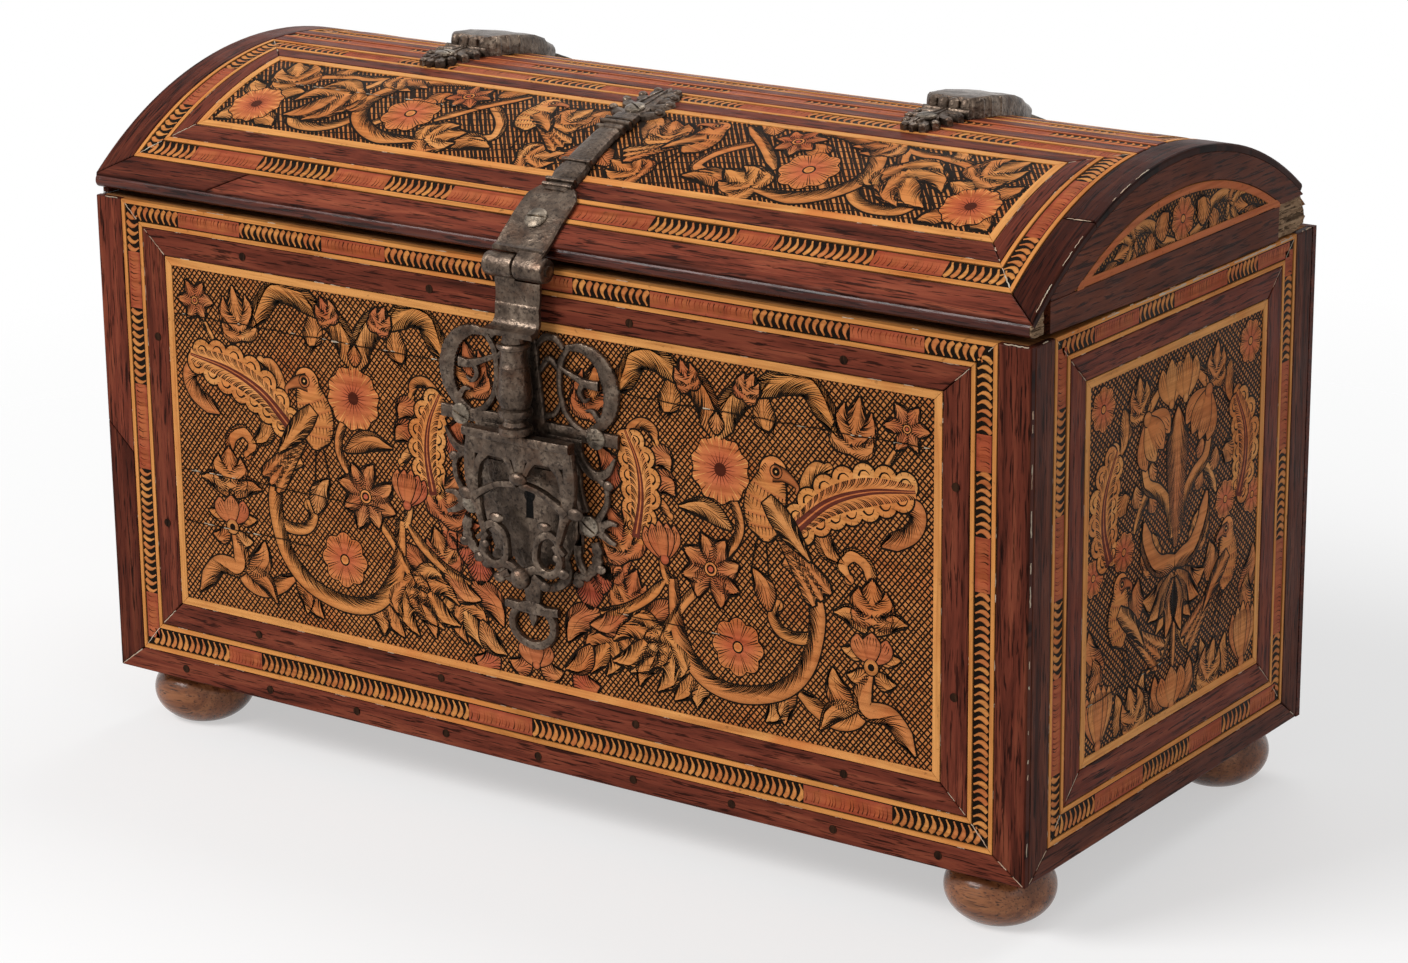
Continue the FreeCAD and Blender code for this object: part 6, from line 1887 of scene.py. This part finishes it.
def raw_lump(u0, u1, low, high, base, rise, count):
    """Torn wood on the right end, ragged outside and closed behind."""
    loops = []
    for u in spread(u0, u1, count):
        v0 = low(u)
        v1 = max(v0 + 1.0, high(u))
        section = [(v0, base(u))]
        for v in spread(v0, v1, 12):
            torn = noise.noise(Vector((0.16 * u, 0.75 * v, 2.0)))
            torn += 0.6 * noise.noise(Vector((0.5 * u, 2.1 * v, 5.0)))
            section.append((v, rise * (-1.2 + max(-1.0, min(1.0, torn)))))
        section.append((v1, base(u)))
        loops.append([on_right(u, v, n) for v, n in section])
    broken.rings(loops)


BREAK_LOW = ((189.0, 232.1), (203.0, 232.1), (211.6, 233.5), (212.8, 236.5))
BREAK_HIGH = ((189.0, 246.0), (207.4, 247.8), (208.6, 245.8), (211.4, 241.0), (212.8, 238.0))


def nose_half(u):
    return RAIL_HALF * math.sqrt(max(0.0, 1 - (max(0.0, NOSE_R - u) / 2.8) ** 2))


def nose_high(u):
    return max(RAIL_MID + nose_half(u) - UNDERSIDE, arch_v(FACE_R, u) if u > RIM_U else 0.0) - 0.15


def nose_low(u):
    return RAIL_MID - nose_half(u) + 0.15 - UNDERSIDE


def break_low(u):
    return stepped(BREAK_LOW, u) - UNDERSIDE


def break_high(u):
    return stepped(BREAK_HIGH, u) - UNDERSIDE


def break_base(u):
    return RAW_START - HALF_W if u > ARCH_TIP else -FACING


broken = Forge()
raw_lump(BAR_STOP + 0.1, BREAK_LOW[-1][0], break_low, break_high, break_base, 0.9, 30)
raw_lump(0.6, RAIL_SHORT - 0.1, nose_low, nose_high, lambda u: -1.7, 0.45, 16)
broken.piece("lid_broken_corner", RAW_WOOD, "lid", forged=0.0, slot="rosewood", smooth_angle=24.0)


def lunette_clip(origin, d):
    """The stretch of a line inside the lunette's ground."""
    radius = LUNETTE_R - 3.2
    to = origin - Vector((MIDDLE_U, ARCH_V))
    half_b = to.dot(d)
    root = half_b * half_b - to.dot(to) + radius * radius
    if root <= 0:
        return None
    low, high = -half_b - math.sqrt(root), -half_b + math.sqrt(root)
    base = LUNETTE_BASE + 3.0
    if abs(d.y) > 1e-9:
        t = (base - origin.y) / d.y
        if d.y > 0:
            low = max(low, t)
        else:
            high = min(high, t)
    return (low, high) if high - low > 0.5 else None


slabs = Forge()
chord = CHORD - 0.15
foot = LUNETTE_BASE + 0.1
for place in (on_right, on_left):
    loops = []
    for i in range(41):
        x = -chord + 2 * chord * i / 40
        top = ARCH_V + math.sqrt(max(0.0, (LUNETTE_R - 0.1) ** 2 - x * x))
        top = max(top, LUNETTE_BASE + 0.15)
        section = ((foot, -FACING), (foot, GROUND_N), (top, GROUND_N), (top, -FACING))
        loops.append([place(MIDDLE_U + x, v, n) for v, n in section])
    slabs.rings(loops)
slabs.piece("lunette_grounds", LUNETTE_GROUND, "lid", "lid_lunettes", forged=0.0, slot="inlay")

# the lunettes' hatching, rim and drawing, whose sketch has its middle and its foot at these places
SKETCH_X, SKETCH_Y, SKETCH_WIDE, SKETCH_TALL = 577.5, 378, 4.944, 4.85
HATCH_BOX = (MIDDLE_U - 82.0, LUNETTE_BASE, MIDDLE_U + 82.0, LUNETTE_BASE + 24.0)
RIM_TINT, RIM_EDGE = blend(AMBER, RED, 0.35), blend(AMBER, SCORCH, 0.25)


def lunette_sketch(x, y):
    """The place on an end of a point of the lunette's sketch."""
    return (MIDDLE_U + (x - SKETCH_X) / SKETCH_WIDE, LUNETTE_BASE + (SKETCH_Y - y) / SKETCH_TALL)


half_angle = math.acos((LUNETTE_BASE - ARCH_V) / LUNETTE_R)
rim_turns = [-half_angle * 0.985 + 1.97 * half_angle * i / 60 for i in range(61)]
rim_line = [Vector(arc_point(LUNETTE_R - 1.7, a)) for a in rim_turns]
base_line = [Vector((MIDDLE_U - 78.5 + 157.0 * i / 40, LUNETTE_BASE + 1.6)) for i in range(41)]
for side, place, seed in (("right", on_right, 71), ("left", on_left, 81)):
    lune_rng = random.Random(seed)
    art = Sheet(place)
    hatch(art, HATCH_BOX, math.radians(52), 1.8, 0.95, 0.3, lune_rng, shape=lunette_clip)
    hatch(art, HATCH_BOX, math.radians(-48), 1.9, 0.85, 0.5, lune_rng, shape=lunette_clip)
    art.ribbon(rim_line, 1.5, 13.0, RIM_TINT, RIM_EDGE)
    art.ribbon(base_line, 1.4, 13.3, RIM_TINT, RIM_EDGE)
    draw_panel(art, lunette_half, lunette_middle, lunette_sketch, DEPTH, seed)
    art.piece(side + "_lunette_drawing", INLAY, "lid", "inlay")


# Old pale filler in the joints and along some edges, which on the lid's right edge is partly a painted
# highlight
FILLER_LEVEL = 8.6
EDGE_LIFT = 0.21
MITRE_SHARE, EDGE_SHARE = 0.75, 0.12


def filler(sheet, start, end, rng, share, width=0.55):
    """Broken bits of pale filler along a joint or an edge; along the lid's right edge they are partly a
    painted highlight.
    """
    start, end = Vector(start), Vector(end)
    length = (end - start).length
    d = (end - start) / length
    q = left_of(d)
    run = 1.2
    while run < length:
        bit = rng.uniform(1.2, 5.5)
        if rng.random() < share and run + bit < length:
            path = [start + d * (run + bit * i / 4) + q * rng.uniform(-0.14, 0.14) for i in range(5)]
            half = 0.5 * width * rng.uniform(0.5, 1.1)
            tint = blend(FILLER, AMBER, 0.35 * rng.random())
            sheet.ribbon(path, lambda t: half * math.sin(math.pi * (0.12 + 0.76 * t)), FILLER_LEVEL, tint,
                         columns=PLAIN_LINE, right=half)
        run += bit


def ring_filler(sheet, ring, rng):
    """Filler in the four mitres of a ring and along its inner edge."""
    outer, inner = corners_of(ring[0]), corners_of(inside(*ring))
    for a, b in zip(outer, inner):
        if (Vector(a) - Vector(b)).length > 1.0:
            filler(sheet, a, b, rng, MITRE_SHARE)
    for k in range(4):
        filler(sheet, inner[k], inner[(k + 1) % 4], rng, EDGE_SHARE, 0.4)


# filler along an edge, on the lid partly a painted highlight: its start and end, its share of the length and
# its width
RIGHT_EDGES = [((1.5, 8.0), (1.5, 200.0), 0.3, 0.9), ((92.0, 206.3), (204.0, 206.3), 0.85, 1.1),
               ((20.0, 206.5), (90.0, 206.5), 0.25, 0.6)]
LEFT_EDGES = [((DEPTH - 1.5, 8.0), (DEPTH - 1.5, 200.0), 0.3, 0.9)]
# on the lid's right edge the pale bits are partly old filler and partly a painted highlight along the edge;
# the last line is filler in a seam across the strip
LID_FILLER_AND_HIGHLIGHT_EDGES = [((449.3, 4.0), (449.3, 36.0), 0.8, 0.5), ((449.3, 36.0), (449.3, 120.0), 0.25, 0.5),
             ((437.0, 52.5), (448.6, 52.7), 1.0, 0.6)]
FRONT_RINGS, END_RINGS = [[rings[k] for k in ("outer", "band", "frame")] for rings in (FRONT, END)]
for name, place, body, seed, rings, edges in (("front", on_front, "case", 91, FRONT_RINGS, []),
                                              ("right", on_right, "case", 92, END_RINGS, RIGHT_EDGES),
                                              ("left", on_left, "case", 93, END_RINGS, LEFT_EDGES),
                                              ("lid", on_lid, "lid", 94, [LID_BAND, LID_FRAME], LID_FILLER_AND_HIGHLIGHT_EDGES)):
    joint_rng = random.Random(seed)
    old = Sheet(place)
    for ring in rings:
        ring_filler(old, ring, joint_rng)
    old.lift = EDGE_LIFT
    for start, end, share, width in edges:
        filler(old, start, end, joint_rng, share, width)
    old.piece(name + "_joint_filler", INLAY, body, "inlay")


# CAD nodes that stay, with their finishes
def finish_node(material, *names):
    for name in names:
        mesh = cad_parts[name].data
        mesh.materials.clear()
        mesh.materials.append(material)


finish_node(CARCASS, "front_board", "back_board", "bottom_board", "lid_staves")
finish_node(CARCASS_Y, "left_end_board", "right_end_board", "lid_left_end", "lid_right_end")
finish_node(WALNUT, "front_left_foot", "front_right_foot", "rear_left_foot", "rear_right_foot")
finish_node(PLAIN_ROSE, "back_outer_strips", "back_panel")
finish_node(PEG, "case_pegs")
IRON_WORDS = ("hasp", "hinge", "lock_", "bolt_spring", "hardware")
finish_node(IRON, *[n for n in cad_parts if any(word in n for word in IRON_WORDS)])
for name in ("left_hinge_leaf", "right_hinge_leaf"):
    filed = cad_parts[name].modifiers.new("filed_edges", 'BEVEL')
    filed.width = 0.0007
    filed.segments = 2
    filed.limit_method = 'ANGLE'


# Camera, floor and light
CAM_AZ, CAM_EL, CAM_ROLL = math.radians(35.136), math.radians(17.107), math.radians(-0.608)
CAM_DISTANCE = 1.6771
CAM_TARGET = Vector((0.00415, 0.00416, 0.1165))
CAM_LENS = 103.56

back = Vector((math.sin(CAM_AZ) * math.cos(CAM_EL), -math.cos(CAM_AZ) * math.cos(CAM_EL), math.sin(CAM_EL)))
right = Vector((math.cos(CAM_AZ), math.sin(CAM_AZ), 0.0))
up = back.cross(right)
cam_right = math.cos(CAM_ROLL) * right + math.sin(CAM_ROLL) * up
cam_up = -math.sin(CAM_ROLL) * right + math.cos(CAM_ROLL) * up
camera_data = bpy.data.cameras.new("camera")
camera_data.lens = CAM_LENS
camera_data.sensor_width = 36.0
camera_data.clip_start = 0.05
camera = bpy.data.objects.new("camera", camera_data)
bpy.context.scene.collection.objects.link(camera)
spot = CAM_TARGET + back * CAM_DISTANCE
camera.matrix_world = Matrix(((cam_right.x, cam_up.x, back.x, spot.x),
                              (cam_right.y, cam_up.y, back.y, spot.y),
                              (cam_right.z, cam_up.z, back.z, spot.z),
                              (0.0, 0.0, 0.0, 1.0)))
bpy.context.scene.camera = camera
bpy.context.scene.view_settings.view_transform = 'Standard'


def area_light(name, place, target, size, power):
    lamp = bpy.data.lights.new(name, 'AREA')
    lamp.shape = 'RECTANGLE'
    lamp.size, lamp.size_y = size
    lamp.energy = power
    holder = bpy.data.objects.new(name, lamp)
    bpy.context.scene.collection.objects.link(holder)
    holder.location = place
    holder.rotation_euler = (Vector(target) - Vector(place)).to_track_quat('-Z', 'Y').to_euler()


area_light("key_light", (-1.3, -2.0, 2.2), (0.0, 0.0, 0.12), (1.6, 1.2), 78.0)
area_light("fill_light", (2.4, -1.2, 1.2), (0.0, 0.0, 0.12), (1.4, 1.4), 5.0)
area_light("top_light", (0.2, 1.2, 2.4), (0.0, 0.0, 0.2), (2.0, 1.0), 22.0)


def seen_rays(graph):
    """1 for what the camera sees, directly or by way of gloss or glass, and 0 for other light."""
    rays = graph.add('ShaderNodeLightPath').outputs
    mirrored = graph.math('MAXIMUM', rays['Is Glossy Ray'], rays['Is Transmission Ray'])
    return graph.math('MAXIMUM', rays['Is Camera Ray'], mirrored)


WHITE = (1.0, 1.0, 1.0, 1.0)
AMBIENT = 0.34
sky = Graph(bpy.data.worlds.new("studio"))
bpy.context.scene.world = sky.owner
sky.tree.nodes.clear()
ambient = sky.add('ShaderNodeBackground', {'Color': WHITE, 'Strength': AMBIENT})
white = sky.add('ShaderNodeBackground', {'Color': WHITE, 'Strength': 1.0})
choose = sky.add('ShaderNodeMixShader', {0: seen_rays(sky), 1: ambient.outputs[0], 2: white.outputs[0]})
sky.add('ShaderNodeOutputWorld', {'Surface': choose.outputs[0]})

# the floor fades to clear away from the casket and glows a little where it is seen
FLOOR_R, FLOOR_CLEAR, FLOOR_FADE, FLOOR_GLOW = 2.6, 0.40, 0.45, 0.5
FLOOR_TINT = (0.86, 0.86, 0.86, 1.0)
floor_mesh = bpy.data.meshes.new("floor")
floor_turns = [a * math.pi / 24 for a in range(48)]
floor_ring = [(FLOOR_R * math.cos(a), FLOOR_R * math.sin(a), 0.0) for a in floor_turns]
floor_mesh.from_pydata(floor_ring, [], [list(range(48))])
floor = bpy.data.objects.new("floor", floor_mesh)
bpy.context.scene.collection.objects.link(floor)

g = Graph(bpy.data.materials.new("floor_pale"))
floor_mesh.materials.append(g.owner)
matt = g.find('BSDF_PRINCIPLED')
for socket, value in (('Base Color', FLOOR_TINT), ('Roughness', 0.9), ('Specular IOR Level', 0.0)):
    matt.inputs[socket].default_value = value
middle_out = g.add('ShaderNodeTexCoord').outputs['Object']
reach = g.add('ShaderNodeVectorMath', {0: middle_out}, operation='LENGTH').outputs['Value']
fade = g.level(reach, FLOOR_CLEAR, FLOOR_CLEAR + FLOOR_FADE)
clear = g.add('ShaderNodeBsdfTransparent')
glow_share = g.math('MULTIPLY', seen_rays(g), FLOOR_GLOW)
glow = g.add('ShaderNodeEmission', {'Color': WHITE, 'Strength': 1.0})
lit = g.add('ShaderNodeMixShader', {0: glow_share, 1: matt.outputs[0], 2: glow.outputs[0]})
joined = g.add('ShaderNodeMixShader', {0: fade, 1: lit.outputs[0], 2: clear.outputs[0]})
g.tree.links.new(joined.outputs[0], g.find('OUTPUT_MATERIAL').inputs['Surface'])
